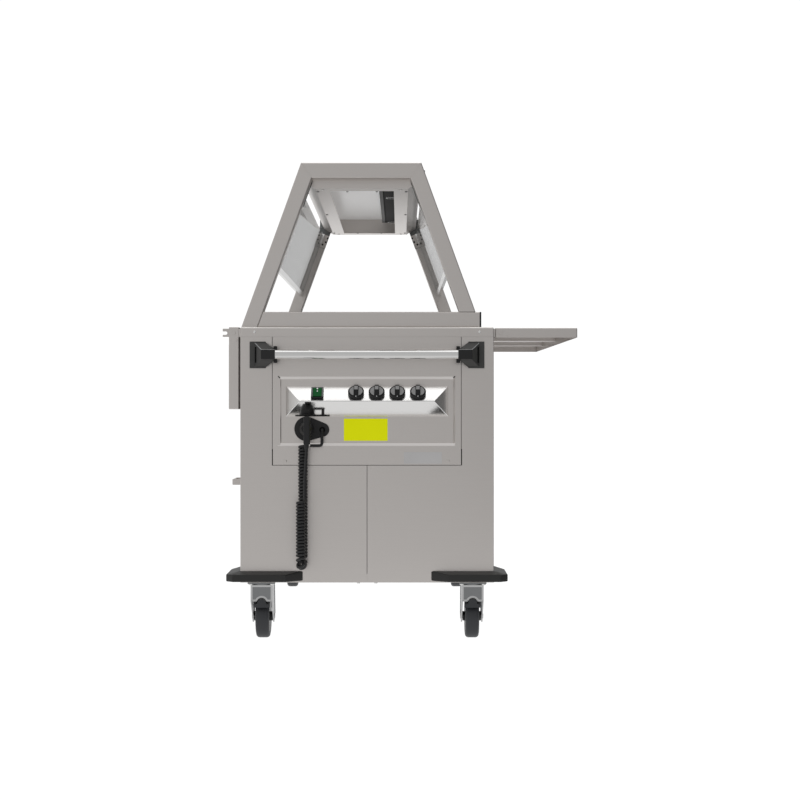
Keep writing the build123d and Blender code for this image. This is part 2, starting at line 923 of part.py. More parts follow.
for name, (place_x, place_y, trail_sign) in caster_places.items():
    axle_y = place_y + trail_sign * caster_trail
    front_y = place_y - trail_sign * fork_front
    back_y = place_y + trail_sign * fork_back
    toe = fork_toe_radius * math.sqrt(2) / 2

    with BuildPart() as fork:
        span_box(
            (place_x - fork_outer, place_x + fork_outer),
            (front_y, back_y),
            (fork_top - fork_sheet, fork_top),
        )
        cheek = [
            (front_y, fork_top),
            (back_y, fork_top),
            (axle_y + trail_sign * fork_toe_radius, wheel_radius),
            (axle_y + trail_sign * toe, wheel_radius - toe),
            (axle_y, wheel_radius - fork_toe_radius),
            (axle_y - trail_sign * toe, wheel_radius - toe),
            (axle_y - trail_sign * fork_toe_radius, wheel_radius),
            (front_y, fork_top - fork_wall_drop),
        ]
        for low_x in (place_x - fork_outer, place_x + fork_inner):
            yz_prism(cheek, low_x, low_x + fork_sheet)
        wall_bottom = fork_top - fork_wall_drop
        span_box(
            (place_x - fork_inner, place_x + fork_inner),
            (front_y, front_y + trail_sign * fork_sheet),
            (wall_bottom, fork_top - fork_sheet),
        )
        long_pin(
            place_x,
            (front_y - trail_sign * overrun, front_y + trail_sign * (fork_sheet + overrun)),
            wall_bottom - fork_sheet,
            fork_wall_arch,
            Mode.SUBTRACT,
        )
        post(
            place_x,
            place_y,
            fork_top - fork_sheet - overrun,
            fork_top + overrun,
            kingpin_radius + running_gap,
            Mode.SUBTRACT,
        )
        bore_span = (place_x - fork_outer - overrun, place_x + fork_outer + overrun)
        cross_pin(bore_span, axle_y, wheel_radius, axle_radius + running_gap, Mode.SUBTRACT)
        head_start = fork_outer + running_gap
        cross_pin((place_x - head_start, place_x + head_start), axle_y, wheel_radius, axle_radius)
        for side in (-1, 1):
            head_span = (place_x + side * head_start, place_x + side * (head_start + axle_head))
            cross_pin(head_span, axle_y, wheel_radius, axle_head_radius)
        if trail_sign > 0:
            pedal_y = front_y + trail_sign * pedal_pivot_back
            cross_pin(
                (place_x - fork_outer, place_x + fork_outer),
                pedal_y,
                pedal_pivot_level,
                pedal_pin_radius,
            )
    fork.part.label = f"fork_{name}"
    export_step(fork.part, f"parts/fork_{name}.step")

    with BuildPart() as wheel:
        half_width = wheel_width / 2
        rim_radius = wheel_radius - tyre_depth
        with BuildSketch(Plane.XZ):
            with BuildLine():
                Polyline(
                    (hub_radius, hub_half),
                    (hub_radius, half_width - hub_dish),
                    (rim_radius, half_width - hub_dish),
                    (rim_radius + hub_dish, half_width),
                    (wheel_radius - tyre_round, half_width),
                )
                RadiusArc(
                    (wheel_radius - tyre_round, half_width),
                    (wheel_radius, half_width - tyre_round),
                    tyre_round,
                )
                Line((wheel_radius, half_width - tyre_round), (wheel_radius, tyre_round - half_width))
                RadiusArc(
                    (wheel_radius, tyre_round - half_width),
                    (wheel_radius - tyre_round, -half_width),
                    tyre_round,
                )
                Polyline(
                    (wheel_radius - tyre_round, -half_width),
                    (rim_radius + hub_dish, -half_width),
                    (rim_radius, hub_dish - half_width),
                    (hub_radius, hub_dish - half_width),
                    (hub_radius, -hub_half),
                    (axle_radius + running_gap, -hub_half),
                    (axle_radius + running_gap, hub_half),
                    (hub_radius, hub_half),
                )
            make_face()
        revolve(axis=Axis.Z)
    wheel_at = Location((place_x, axle_y, wheel_radius), (0, 90, 0))
    placed_wheel = wheel.part.moved(wheel_at)
    placed_wheel.label = f"wheel_{name}"
    export_step(placed_wheel, f"parts/wheel_{name}.step")

    if trail_sign > 0:
        with BuildPart() as pedal:
            tread_front = place_y - pedal_front
            span_box(
                (place_x - pedal_width / 2, place_x + pedal_width / 2),
                (tread_front, tread_front + pedal_depth),
                (pedal_level, pedal_level + pedal_brim),
            )
            with BuildSketch(Plane.XZ.offset(-tread_front - pedal_depth)):
                with BuildLine():
                    dome_base = pedal_level + pedal_brim
                    dome_half = pedal_dome_width / 2
                    Line((place_x - dome_half, dome_base), (place_x + dome_half, dome_base))
                    ThreePointArc(
                        (place_x - dome_half, dome_base),
                        (place_x, pedal_level + pedal_height),
                        (place_x + dome_half, dome_base),
                    )
                make_face()
            extrude(amount=pedal_depth)
            pedal_y = front_y + pedal_pivot_back
            for side in (-1, 1):
                arm_x = place_x + side * (pedal_width / 2 - pedal_arm)
                arm_outline = [
                    (tread_front + pedal_arm, pedal_level + sheet),
                    (tread_front + pedal_depth, pedal_level + sheet),
                    (pedal_y + pedal_eye, pedal_pivot_level),
                    (pedal_y, pedal_pivot_level + pedal_eye),
                    (pedal_y - pedal_eye, pedal_pivot_level),
                ]
                low_x = min(arm_x, arm_x + side * pedal_arm)
                yz_prism(arm_outline, low_x, low_x + pedal_arm)
            cross_pin(
                (place_x - pedal_width, place_x + pedal_width),
                pedal_y,
                pedal_pivot_level,
                pedal_pin_radius + running_gap,
                Mode.SUBTRACT,
            )
        pedal.part.label = f"brake_{name}"
        export_step(pedal.part, f"parts/brake_{name}.step")

# Sneeze-guard frames in square tube: sloping legs, a top rail and a bottom rail
guard_x = body_centre_x + guard_offset_x
guard_slope = (guard_base_half - guard_top_half) / (guard_top - worktop_height)
guard_outer_y = body_length / 2 - guard_end_inset
guard_inner_y = guard_outer_y - tube


def guard_half(level):
    # Half the width across the outside of the legs at a level
    return guard_top_half + (guard_top - level) * guard_slope


rail_top = worktop_height + tube
top_rail_bottom = guard_top - tube
rail_end = guard_base_half - plug_thickness


def leg_outline(side, bottom, inset, ends):
    # The outline of a leg, taken in by a wall and let out at its ends where its bore is cut
    low = bottom - ends
    high = guard_top + ends
    mitre_low = top_rail_bottom + ends
    wall = inset * guard_leg_width / tube
    return [
        (guard_x + side * (guard_half(low) - wall), low),
        (guard_x + side * (guard_half(high) - wall), high),
        (guard_x + side * (guard_half(mitre_low) - guard_leg_width + wall), mitre_low),
        (guard_x + side * (guard_half(low) - guard_leg_width + wall), low),
    ]


def hollow_tube(outline, bore_outline, y_low, y_high):
    # A square tube with rounded long edges
    with BuildPart() as run:
        xz_prism(outline, y_low, y_high)
        fillet(run.edges().sort_by(SortBy.LENGTH)[-4:], radius=tube_round)
        xz_prism(bore_outline, y_low + tube_wall, y_high - tube_wall, Mode.SUBTRACT)
    return run.part


for name, end in (("near", -1), ("far", 1)):
    y_low = min(end * guard_outer_y, end * guard_inner_y)
    y_high = max(end * guard_outer_y, end * guard_inner_y)
    top_outline = [
        (guard_x - guard_top_half + fit_gap, guard_top),
        (guard_x + guard_top_half - fit_gap, guard_top),
        (guard_x + guard_half(top_rail_bottom) - guard_leg_width - fit_gap, top_rail_bottom),
        (guard_x - guard_half(top_rail_bottom) + guard_leg_width + fit_gap, top_rail_bottom),
    ]
    top_bore = [
        (guard_x - guard_top_half, guard_top - tube_wall),
        (guard_x + guard_top_half, guard_top - tube_wall),
        (guard_x + guard_top_half, top_rail_bottom + tube_wall),
        (guard_x - guard_top_half, top_rail_bottom + tube_wall),
    ]
    bottom_outline = [
        (guard_x - guard_half(worktop_height) + guard_leg_width + fit_gap, worktop_height),
        (guard_x - guard_half(rail_top) + guard_leg_width + fit_gap, rail_top),
        (guard_x + rail_end, rail_top),
        (guard_x + rail_end, worktop_height),
    ]
    bottom_bore = [
        (guard_x - guard_base_half, worktop_height + tube_wall),
        (guard_x - guard_base_half, rail_top - tube_wall),
        (guard_x + guard_base_half, rail_top - tube_wall),
        (guard_x + guard_base_half, worktop_height + tube_wall),
    ]
    guard_runs = [
        hollow_tube(
            leg_outline(side, bottom, 0, 0),
            leg_outline(side, bottom, tube_wall, overrun),
            y_low,
            y_high,
        )
        for side, bottom in ((-1, worktop_height), (1, rail_top + fit_gap))
    ]
    guard_runs.append(hollow_tube(top_outline, top_bore, y_low, y_high))
    guard_runs.append(hollow_tube(bottom_outline, bottom_bore, y_low, y_high))
    with BuildPart() as guard_frame:
        for run in guard_runs:
            add(run)
    guard_frame.part.label = f"guard_frame_{name}"
    export_step(guard_frame.part, f"parts/guard_frame_{name}.step")

with BuildPart() as rail_end_plugs:
    for end in (-1, 1):
        span_box(
            (guard_x + rail_end, guard_x + guard_base_half),
            (end * guard_inner_y, end * guard_outer_y),
            (worktop_height, rail_top),
        )
    fillet(rail_end_plugs.edges().filter_by(Axis.X), radius=tube_round)
rail_end_plugs.part.label = "rail_end_plugs"
export_step(rail_end_plugs.part, "parts/rail_end_plugs.step")

# Canopy: a folded housing with a window in its underside
canopy_roof = guard_top - canopy_top_step
with BuildPart() as canopy:
    outer = [
        (guard_x - canopy_bottom_half, canopy_bottom),
        (guard_x + canopy_bottom_half, canopy_bottom),
        (guard_x + canopy_half, canopy_side_bottom),
        (guard_x + canopy_half, canopy_roof),
        (guard_x - canopy_half, canopy_roof),
        (guard_x - canopy_half, canopy_side_bottom),
    ]
    inner = [
        (guard_x - canopy_bottom_half, canopy_bottom + sheet),
        (guard_x + canopy_bottom_half, canopy_bottom + sheet),
        (guard_x + canopy_half - sheet, canopy_side_bottom + sheet),
        (guard_x + canopy_half - sheet, canopy_roof - sheet),
        (guard_x - canopy_half + sheet, canopy_roof - sheet),
        (guard_x - canopy_half + sheet, canopy_side_bottom + sheet),
    ]
    xz_prism(outer, -guard_inner_y, guard_inner_y)
    xz_prism(inner, sheet - guard_inner_y, guard_inner_y - sheet, Mode.SUBTRACT)
    span_box(
        (guard_x - window_half, guard_x + window_half),
        (window_end_inset - guard_inner_y, guard_inner_y - window_end_inset),
        (canopy_bottom - overrun, canopy_bottom + sheet + overrun),
        Mode.SUBTRACT,
    )
canopy.part.label = "canopy"
export_step(canopy.part, "parts/canopy.step")

with BuildPart() as reflector:
    span_box(
        (guard_x - canopy_half + 2 * sheet, guard_x + canopy_half - 2 * sheet),
        (2 * sheet - guard_inner_y, guard_inner_y - 2 * sheet),
        (reflector_level, reflector_level + sheet),
    )
    for side in (-1, 1):
        wall_x = guard_x + side * (canopy_half - 2 * sheet)
        span_box(
            (wall_x, wall_x - side * sheet),
            (2 * sheet - guard_inner_y, guard_inner_y - 2 * sheet),
            (reflector_level + sheet, canopy_roof - sheet),
        )
reflector.part.label = "reflector"
export_step(reflector.part, "parts/reflector.step")

# Lamp batten under the reflector and the entry of its cable on the canopy's side
batten_x = guard_x + batten_offset_x
with BuildPart() as lamp:
    span_box(
        (batten_x - batten_width / 2, batten_x + batten_width / 2),
        (-batten_length / 2, batten_length / 2),
        (reflector_level - batten_height, reflector_level),
    )
    fillet(lamp.edges().group_by(Axis.Z)[0].filter_by(Axis.X), radius=batten_round)
    fillet(lamp.edges().group_by(Axis.Z)[0].filter_by(Axis.Y), radius=corner_bend)
lamp.part.label = "lamp"
export_step(lamp.part, "parts/lamp.step")

with BuildPart() as lamp_gland:
    entry_y = guard_inner_y - lamp_gland_inset
    span_box(
        (guard_x + canopy_half, guard_x + canopy_half + lamp_gland_reach),
        (entry_y, entry_y + lamp_gland_length),
        (lamp_gland_level - lamp_gland_height / 2, lamp_gland_level + lamp_gland_height / 2),
    )
    fillet(lamp_gland.edges().filter_by(Axis.X), radius=corner_bend)
lamp_gland.part.label = "lamp_gland"
export_step(lamp_gland.part, "parts/lamp_gland.step")

# Glass panes hang in the plane of the legs, from pins in index plates on the frames
pane_axis = guard_half(pane_axis_level) - guard_leg_width / 2
leg_angle = math.degrees(math.atan(guard_slope))
glass_half = guard_inner_y - index_plate - glass_end_gap


def pane_plane(side, y):
    # Local X runs down the pane, local Y is square to it and outwards
    down = Vector(side * math.sin(math.radians(leg_angle)), 0, -math.cos(math.radians(leg_angle)))
    return Plane((guard_x + side * pane_axis, y, pane_axis_level), x_dir=down, z_dir=(0, side, 0))


def pane_box(side, down_span, out_span, y_span, mode=Mode.ADD):
    start = y_span[0] if side > 0 else y_span[1]
    with BuildSketch(pane_plane(side, start)) as profile:
        with Locations(((down_span[0] + down_span[1]) / 2, (out_span[0] + out_span[1]) / 2)):
            Rectangle(down_span[1] - down_span[0], out_span[1] - out_span[0])
    extrude(profile.sketch, amount=y_span[1] - y_span[0], dir=(0, side, 0), mode=mode)


def pane_disc(side, y_span, radius, mode=Mode.ADD):
    start = y_span[0] if side > 0 else y_span[1]
    with BuildSketch(pane_plane(side, start)) as profile:
        Circle(radius)
    extrude(profile.sketch, amount=y_span[1] - y_span[0], dir=(0, side, 0), mode=mode)


for name, side in (("left", -1), ("right", 1)):
    half_glass = glass_thickness / 2
    with BuildPart() as glass:
        pane_box(side, (glass_top_gap, glass_drop), (-half_glass, half_glass), (-glass_half, glass_half))
        for end in (-1, 1):
            clamp_end = end * glass_half
            clamp_in = end * (glass_half - clamp_length)
            clamp_span = (min(clamp_end, clamp_in), max(clamp_end, clamp_in))
            pane_box(
                side,
                (-clamp_height, glass_top_gap + clamp_height / 2),
                (-glass_thickness, glass_thickness),
                clamp_span,
                Mode.SUBTRACT,
            )
    glass.part.label = f"glass_{name}"
    export_step(glass.part, f"parts/glass_{name}.step")

    with BuildPart() as fittings:
        out_face = half_glass + clamp_wall
        for end in (-1, 1):
            clamp_end = end * glass_half
            clamp_in = end * (glass_half - clamp_length)
            clamp_span = (min(clamp_end, clamp_in), max(clamp_end, clamp_in))
            pane_box(side, (-half_glass, glass_top_gap + clamp_height), (-out_face, out_face), clamp_span)
            pane_box(
                side,
                (glass_top_gap + clamp_height / 2, glass_top_gap + clamp_height + overrun),
                (-half_glass, half_glass),
                (clamp_span[0] - overrun, clamp_span[1] + overrun),
                Mode.SUBTRACT,
            )
            pin_end = end * guard_inner_y - end * fit_gap
            pin_span = (min(clamp_end, pin_end), max(clamp_end, pin_end))
            pane_disc(side, pin_span, pane_pin_radius)
        strip_out = half_glass + strip_wall
        pane_box(
            side,
            (glass_drop - strip_height, glass_drop + strip_wall),
            (-strip_out, strip_out),
            (-glass_half, glass_half),
        )
        pane_box(
            side,
            (glass_drop - strip_height - overrun, glass_drop),
            (-half_glass, half_glass),
            (-glass_half - overrun, glass_half + overrun),
            Mode.SUBTRACT,
        )
    fittings.part.label = f"glass_fittings_{name}"
    export_step(fittings.part, f"parts/glass_fittings_{name}.step")


def index_disc(side, end):
    # A disc around the pane's pin, cut off at the canopy and notched at each stop of the pane
    inner = end * (guard_inner_y - index_plate)
    outer = end * guard_inner_y
    plate_span = (min(inner, outer), max(inner, outer))
    cut_span = (plate_span[0] - overrun, plate_span[1] + overrun)
    canopy_edge = guard_x + side * (canopy_half + block_gap)
    with BuildPart() as disc:
        pane_disc(side, plate_span, index_radius)
        pane_disc(side, cut_span, pane_pin_radius + running_gap, Mode.SUBTRACT)
        span_box(
            (canopy_edge, canopy_edge - side * 2 * index_radius),
            cut_span,
            (pane_axis_level - 2 * index_radius, pane_axis_level + 2 * index_radius),
            Mode.SUBTRACT,
        )
        for notch in range(index_notches):
            turn = math.radians(leg_angle + notch * index_step)
            notch_x = guard_x + side * (pane_axis + index_radius * math.sin(turn))
            notch_z = pane_axis_level - index_radius * math.cos(turn)
            long_pin(notch_x, cut_span, notch_z, index_notch_radius, Mode.SUBTRACT)
    return disc.part


index_discs = [index_disc(side, end) for side in (-1, 1) for end in (-1, 1)]
with BuildPart() as index_plates:
    for disc in index_discs:
        add(disc)
index_plates.part.label = "index_plates"
export_step(index_plates.part, "parts/index_plates.step")

# Blocks that tie the canopy to the legs above the index plates
with BuildPart() as canopy_blocks:
    block_low = pane_axis_level + index_radius + block_gap
    for side in (-1, 1):
        for end in (-1, 1):
            block_x = guard_x + side * canopy_half
            span_box(
                (block_x, guard_x + side * (guard_half(block_low) - tube_round)),
                (end * guard_inner_y, end * (guard_inner_y - block_length)),
                (block_low, block_low + block_height),
            )
canopy_blocks.part.label = "canopy_blocks"
export_step(canopy_blocks.part, "parts/canopy_blocks.step")

# Tray slides: the right one stands raised, the left one hangs folded down
tray_top = worktop_height - tray_step
pivot_level = tray_top - tray_pivot_depth
tray_half = tray_length / 2
hook_y = tray_half - sheet - hook_setback - hook_thickness / 2


def tray_solid():
    # Drawn with the pivot on the Y axis, the top skin up and the tray reaching to plus X
    inner_x = -tray_pivot_inset
    outer_x = tray_width - tray_pivot_inset
    low = tray_pivot_depth - tray_thickness
    with BuildPart(mode=Mode.PRIVATE) as tray:
        span_box((inner_x, outer_x), (-tray_half, tray_half), (low, tray_pivot_depth))
        fillet(tray.edges().filter_by(Axis.Z), radius=tray_corner)
        fillet(tray.edges().group_by(Axis.Z)[-1], radius=tray_corner)
        span_box(
            (inner_x + sheet, outer_x - sheet),
            (sheet - tray_half, tray_half - sheet),
            (low - overrun, tray_pivot_depth - sheet),
            Mode.SUBTRACT,
        )
        brace_bottom = tray_pivot_depth - sheet - tray_brace_height
        for end in (-1, 0, 1):
            brace_y = end * tray_length / 3
            span_box(
                (inner_x + sheet, outer_x - sheet),
                (brace_y - tray_brace_width / 2, brace_y + tray_brace_width / 2),
                (brace_bottom, brace_bottom + sheet),
            )
            for edge in (-1, 1):
                wall_y = brace_y + edge * (tray_brace_width - sheet) / 2
                span_box(
                    (inner_x + sheet, outer_x - sheet),
                    (wall_y - sheet / 2, wall_y + sheet / 2),
                    (brace_bottom, tray_pivot_depth - sheet),
                )
        slot_out = math.hypot(hook_reach - tray_pivot_reach, tray_pivot_depth) + hook_slot_side
        slot_half = hook_thickness / 2 + hook_slot_side
        for end in (-1, 1):
            span_box(
                (inner_x - overrun, slot_out),
                (end * hook_y - slot_half, end * hook_y + slot_half),
                (low - overrun, tray_pivot_depth + overrun),
                Mode.SUBTRACT,
            )
            foot_edge = hook_y - hook_thickness / 2 - hook_flange - hook_slot_side
            span_box(
                (inner_x - overrun, inner_x + 2 * sheet),
                (end * foot_edge, end * hook_y),
                (low - overrun, low + hook_foot_notch),
                Mode.SUBTRACT,
            )
            long_pin(
                0,
                (end * (tray_half - overrun), end * (tray_half + overrun)),
                0,
                pivot_pin_radius + running_gap,
                Mode.SUBTRACT,
            )
            long_pin(
                lock_pin_out,
                (end * tray_half, end * (tray_half + lock_pin_length)),
                -lock_pin_drop,
                lock_pin_radius,
            )
    return tray.part


raised_tray = tray_solid()
with BuildPart() as tray_right:
    add(raised_tray.moved(Location((body_right + tray_pivot_reach, 0, pivot_level))))
tray_right.part.label = "tray_right"
export_step(tray_right.part, "parts/tray_right.step")

with BuildPart() as tray_left:
    folded = raised_tray.moved(Location((0, 0, 0), (0, 90, 0)))
    turned = folded.moved(Location((0, 0, 0), (0, 0, 180)))
    add(turned.moved(Location((body_left - tray_pivot_reach, 0, pivot_level))))
tray_left.part.label = "tray_left"
export_step(tray_left.part, "parts/tray_left.step")

# Hook plates on the body's sides carry the tray pivots
hook_top = tray_top - sheet - 2 * fit_gap
with BuildPart() as tray_hooks:
    for side in (-1, 1):
        side_x = body_centre_x + side * body_width / 2
        tip_x = side_x + side * hook_reach
        pivot_x = side_x + side * tray_pivot_reach
        for end in (-1, 1):
            low_y = end * hook_y - hook_thickness / 2
            high_y = low_y + hook_thickness
            span_box((side_x, tip_x), (low_y, high_y), (hook_top - hook_height, hook_top))
            long_pin(
                tip_x - side * hook_notch_inset,
                (low_y - overrun, high_y + overrun),
                hook_top - hook_height / 2 - hook_setback,
                hook_notch_radius,
                Mode.SUBTRACT,
            )
            span_box(
                (tip_x - side * hook_notch_inset, tip_x + side * overrun),
                (low_y - overrun, high_y + overrun),
                (
                    hook_top - hook_height / 2 - hook_setback - hook_notch_radius,
                    hook_top - hook_height / 2 - hook_setback + hook_notch_radius,
                ),
                Mode.SUBTRACT,
            )
            inner_face = end * hook_y - end * hook_thickness / 2
            span_box(
                (side_x, side_x + side * sheet),
                (inner_face, inner_face - end * hook_flange),
                (hook_top - hook_height, hook_top),
            )
            outer_face = end * hook_y + end * hook_thickness / 2
            long_pin(pivot_x, (outer_face, end * (tray_half + fit_gap)), pivot_level, pivot_pin_radius)
            long_pin(
                pivot_x,
                (end * (tray_half + fit_gap), end * (tray_half + fit_gap + pivot_head)),
                pivot_level,
                pivot_head_radius,
            )
tray_hooks.part.label = "tray_hooks"
export_step(tray_hooks.part, "parts/tray_hooks.step")

# Cupboard doors: shallow pans with a grip, hinged at the centre post
hinge_x = body_left - hinge_reach
door_low = door_bottom + door_gap
door_high = door_top - door_gap
hinge_levels = [door_low + hinge_inset, door_high - hinge_inset - hinge_height]

for name, side in (("near", -1), ("far", 1)):
    hinge_edge = side * (post_half_width + door_gap)
    free_edge = side * (post_half_width + door_span - door_gap)
    low_y = min(hinge_edge, free_edge)
    high_y = max(hinge_edge, free_edge)
    hinge_y = side * post_half_width
    grip_end = free_edge - side * handle_edge_inset
    grip_start = grip_end - side * handle_length
    grip_x = body_left - handle_reach
    with BuildPart() as door_handle:
        span_box(
            (grip_x, grip_x + handle_thickness),
            (grip_start, grip_end),
            (handle_level - handle_height / 2, handle_level + handle_height / 2),
        )
        for foot in (grip_start, grip_end - side * handle_foot):
            span_box(
                (grip_x + handle_thickness, body_left - fit_gap),
                (foot, foot + side * handle_foot),
                (handle_level - handle_height / 2, handle_level + handle_height / 2),
            )
        fillet(door_handle.edges().group_by(Axis.X)[0], radius=corner_bend)

    with BuildPart() as door:
        span_box((body_left, body_left + door_thickness), (low_y, high_y), (door_low, door_high))
        span_box(
            (body_left + sheet, body_left + door_thickness - sheet),
            (low_y + sheet, high_y - sheet),
            (door_low + sheet, door_high - sheet),
            Mode.SUBTRACT,
        )
        span_box(
            (body_left + door_thickness - sheet - overrun, body_left + door_thickness + overrun),
            (low_y + sheet + door_lip, high_y - sheet - door_lip),
            (door_low + sheet + door_lip, door_high - sheet - door_lip),
            Mode.SUBTRACT,
        )
        for level in hinge_levels:
            middle = level + hinge_height / 2
            span_box(
                (body_left - hinge_leaf, body_left),
                (hinge_y + side * hinge_leaf, hinge_edge + side * hinge_leaf_width),
                (middle + fit_gap, level + hinge_height),
            )
            post(hinge_x, hinge_y, middle + fit_gap, level + hinge_height, hinge_barrel_radius)
            post(
                hinge_x,
                hinge_y,
                middle - overrun,
                level + hinge_height + overrun,
                hinge_pin_radius + running_gap,
                Mode.SUBTRACT,
            )
        add(door_handle.part)
    door.part.label = f"door_{name}"
    export_step(door.part, f"parts/door_{name}.step")

with BuildPart() as door_hinges:
    for side in (-1, 1):
        hinge_y = side * post_half_width
        for level in hinge_levels:
            middle = level + hinge_height / 2
            span_box(
                (body_left - hinge_leaf, body_left),
                (hinge_y - side * hinge_leaf, hinge_y - side * hinge_leaf_width),
                (level, middle),
            )
            post(hinge_x, hinge_y, level, middle, hinge_barrel_radius)
            post(hinge_x, hinge_y, middle, level + hinge_height, hinge_pin_radius)
door_hinges.part.label = "door_hinges"
export_step(door_hinges.part, "parts/door_hinges.step")

# Plug holder in the recess: a flange with a side lobe, and a socket behind the cover
lobe_x = holder_x + holder_lobe_offset
lobe_level = holder_level - holder_lobe_drop
holder_front = recess_floor - holder_thickness
exit_level = holder_level - plug_exit_drop
plug_y = coil_front_y + coil_radius
rib_front = plug_y - plug_rib_depth / 2
rib_back = plug_y + plug_rib_depth / 2

with BuildPart() as holder_body:
    with BuildSketch(Plane.XZ.offset(-recess_floor)):
        with Locations((holder_x, holder_level)):
            Circle(holder_radius)
        with Locations((lobe_x, lobe_level)):
            Circle(holder_lobe_radius)
        make_hull()
        with Locations((lobe_x, lobe_level)):
            Circle(holder_bore, mode=Mode.SUBTRACT)
    extrude(amount=holder_thickness)
    socket_span = (recess_floor, recess_floor + sheet + socket_depth)
    long_pin(holder_x, socket_span, holder_level, socket_radius)
    for side in (-1, 1):
        pin_span = (holder_front - overrun, holder_front + plug_pin_length + fit_gap)
        pin_x = holder_x + side * plug_pin_spread
        long_pin(pin_x, pin_span, holder_level, plug_pin_radius + running_gap, Mode.SUBTRACT)

# Plug: a disc with two pins, a head in front of it and a rib down to the cord
head_top = holder_level + plug_rib_top
disc_back = holder_front - fit_gap
with BuildPart() as plug:
    long_pin(holder_x, (rib_back, disc_back), holder_level, plug_disc_radius)
    for side in (-1, 1):
        pin_x = holder_x + side * plug_pin_spread
        long_pin(pin_x, (disc_back, disc_back + plug_pin_length), holder_level, plug_pin_radius)
    rib_left = min(holder_x, plug_x) - plug_rib_width / 2
    rib_right = max(holder_x, plug_x) + plug_rib_width / 2
    span_box((rib_left, rib_right), (rib_front, rib_back), (exit_level + plug_neck_taper, head_top))
    fillet(plug.edges().filter_by(Axis.Z).group_by(Axis.Y)[0], radius=plug_rib_depth / 4)
    post(plug_x, plug_y, exit_level, exit_level + plug_neck_taper, plug_rib_width / 3)
plug.part.label = "plug"
export_step(plug.part, "parts/plug.step")

# Bail: a round rod from the lobe's bore, down and across to the plug's rib
bail_x = lobe_x
bail_level = lobe_level - bail_drop
bail_front = plug_y
with BuildPart() as bail_rod:
    with BuildLine() as bail_line:
        FilletPolyline(
            (bail_x, recess_floor - fit_gap, lobe_level),
            (bail_x, bail_front, lobe_level),
            (bail_x, bail_front, bail_level),
            (rib_right, bail_front, bail_level),
            radius=bail_bend,
        )
    with BuildSketch(Plane(bail_line.line @ 0, z_dir=bail_line.line % 0)):
        Circle(bail_radius)
    sweep(path=bail_line.line)

with BuildPart() as plug_holder:
    add(holder_body.part)
    add(bail_rod.part)
plug_holder.part.label = "plug_holder"
export_step(plug_holder.part, "parts/plug_holder.step")

# Gland in the cover where the cord comes out
gland_front = near_y - gland_reach
cover_back = recess_floor + sheet
with BuildPart() as cord_gland:
    long_pin(gland_x, (gland_front, gland_front + gland_depth + recess_depth), gland_level, gland_radius)
    long_pin(
        gland_x,
        (cover_back + fit_gap, cover_back + fit_gap + gland_nut),
        gland_level,
        gland_nut_radius,
    )
cord_gland.part.label = "cord_gland"
export_step(cord_gland.part, "parts/cord_gland.step")

# Curly cord: down from the plug, a coil that hangs, bends back below and climbs to the gland
front_run = coil_front_turns * coil_pitch
coil_turns = coil_front_turns + coil_bend_turns + coil_rear_turns
knots_per_turn = 4
turn_share = 0.001
straight_share = 1e-9
bend_centre = Vector((coil_front_x + coil_rear_x) / 2, (coil_front_y + coil_rear_y) / 2, bend_level)
back_way = Vector(coil_rear_x - coil_front_x, coil_rear_y - coil_front_y, 0).normalized()
side_way = Vector(0, 0, 1).cross(back_way)


def coil_centre(turn):
    # The coil's centre line and its inward direction after a number of turns
    if turn <= coil_front_turns:
        return bend_centre - back_way * bend_radius + Vector(0, 0, front_run - turn * coil_pitch), back_way
    if turn <= coil_front_turns + coil_bend_turns:
        swing = math.pi * (turn - coil_front_turns) / coil_bend_turns
        inward = back_way * math.cos(swing) + Vector(0, 0, math.sin(swing))
        return bend_centre - inward * bend_radius, inward
    climb = (turn - coil_front_turns - coil_bend_turns) * coil_pitch
    return bend_centre + back_way * bend_radius + Vector(0, 0, climb), -back_way


def coil_point(turn):
    centre, inward = coil_centre(turn)
    angle = 2 * math.pi * turn
    return centre - (side_way * math.cos(angle) + inward * math.sin(angle)) * coil_radius


def coil_tangent(turn):
    return (coil_point(turn + turn_share) - coil_point(turn - turn_share)).normalized()


def biarc(start, start_way, end, end_way):
    # Two arcs that join two points and keep the direction given at each
    chord = end - start
    ways = start_way + end_way
    spread = 2 * (1 - start_way.dot(end_way))
    lean = chord.dot(ways)
    if spread < straight_share:
        reach = chord.dot(chord) / (2 * lean)
    else:
        reach = (math.sqrt(lean * lean + spread * chord.dot(chord)) - lean) / spread
    first = start + start_way * reach
    last = end - end_way * reach
    middle = (first + last) / 2
    TangentArc(start, middle, tangent=start_way)
    TangentArc(middle, end, tangent=(last - first).normalized())


down_way = Vector(0, 0, -1)
tail_top = Vector(plug_x, plug_y, exit_level)
tail_start = tail_top + down_way * 2 * cord_diameter
tail_end = Vector(coil_front_x, coil_front_y, coil_top_level) - side_way * coil_radius
tail_end = tail_end + back_way * coil_radius + Vector(0, 0, coil_radius)
gland_point = Vector(gland_x, gland_front, gland_level)
knot_count = coil_turns * knots_per_turn
knot_turns = [knot / knots_per_turn for knot in range(knot_count)]
knots = [(coil_point(turn), coil_tangent(turn)) for turn in knot_turns]
last_knot = (Vector(gland_x, coil_rear_y, gland_level), Vector(0, 1, 0))
knots.append(last_knot)

with BuildPart() as power_cord:
    with BuildLine() as cord_line:
        Line(tail_top, tail_start)
        biarc(tail_start, down_way, tail_end, down_way)
        biarc(tail_end, down_way, *knots[0])
        for first_knot, next_knot in zip(knots, knots[1:]):
            biarc(*first_knot, *next_knot)
        Line(last_knot[0], gland_point)
    with BuildSketch(Plane(tail_top, z_dir=down_way)):
        Circle(cord_diameter / 2)
    sweep(path=cord_line.wires()[0])
power_cord.part.label = "power_cord"
export_step(power_cord.part, "parts/power_cord.step")

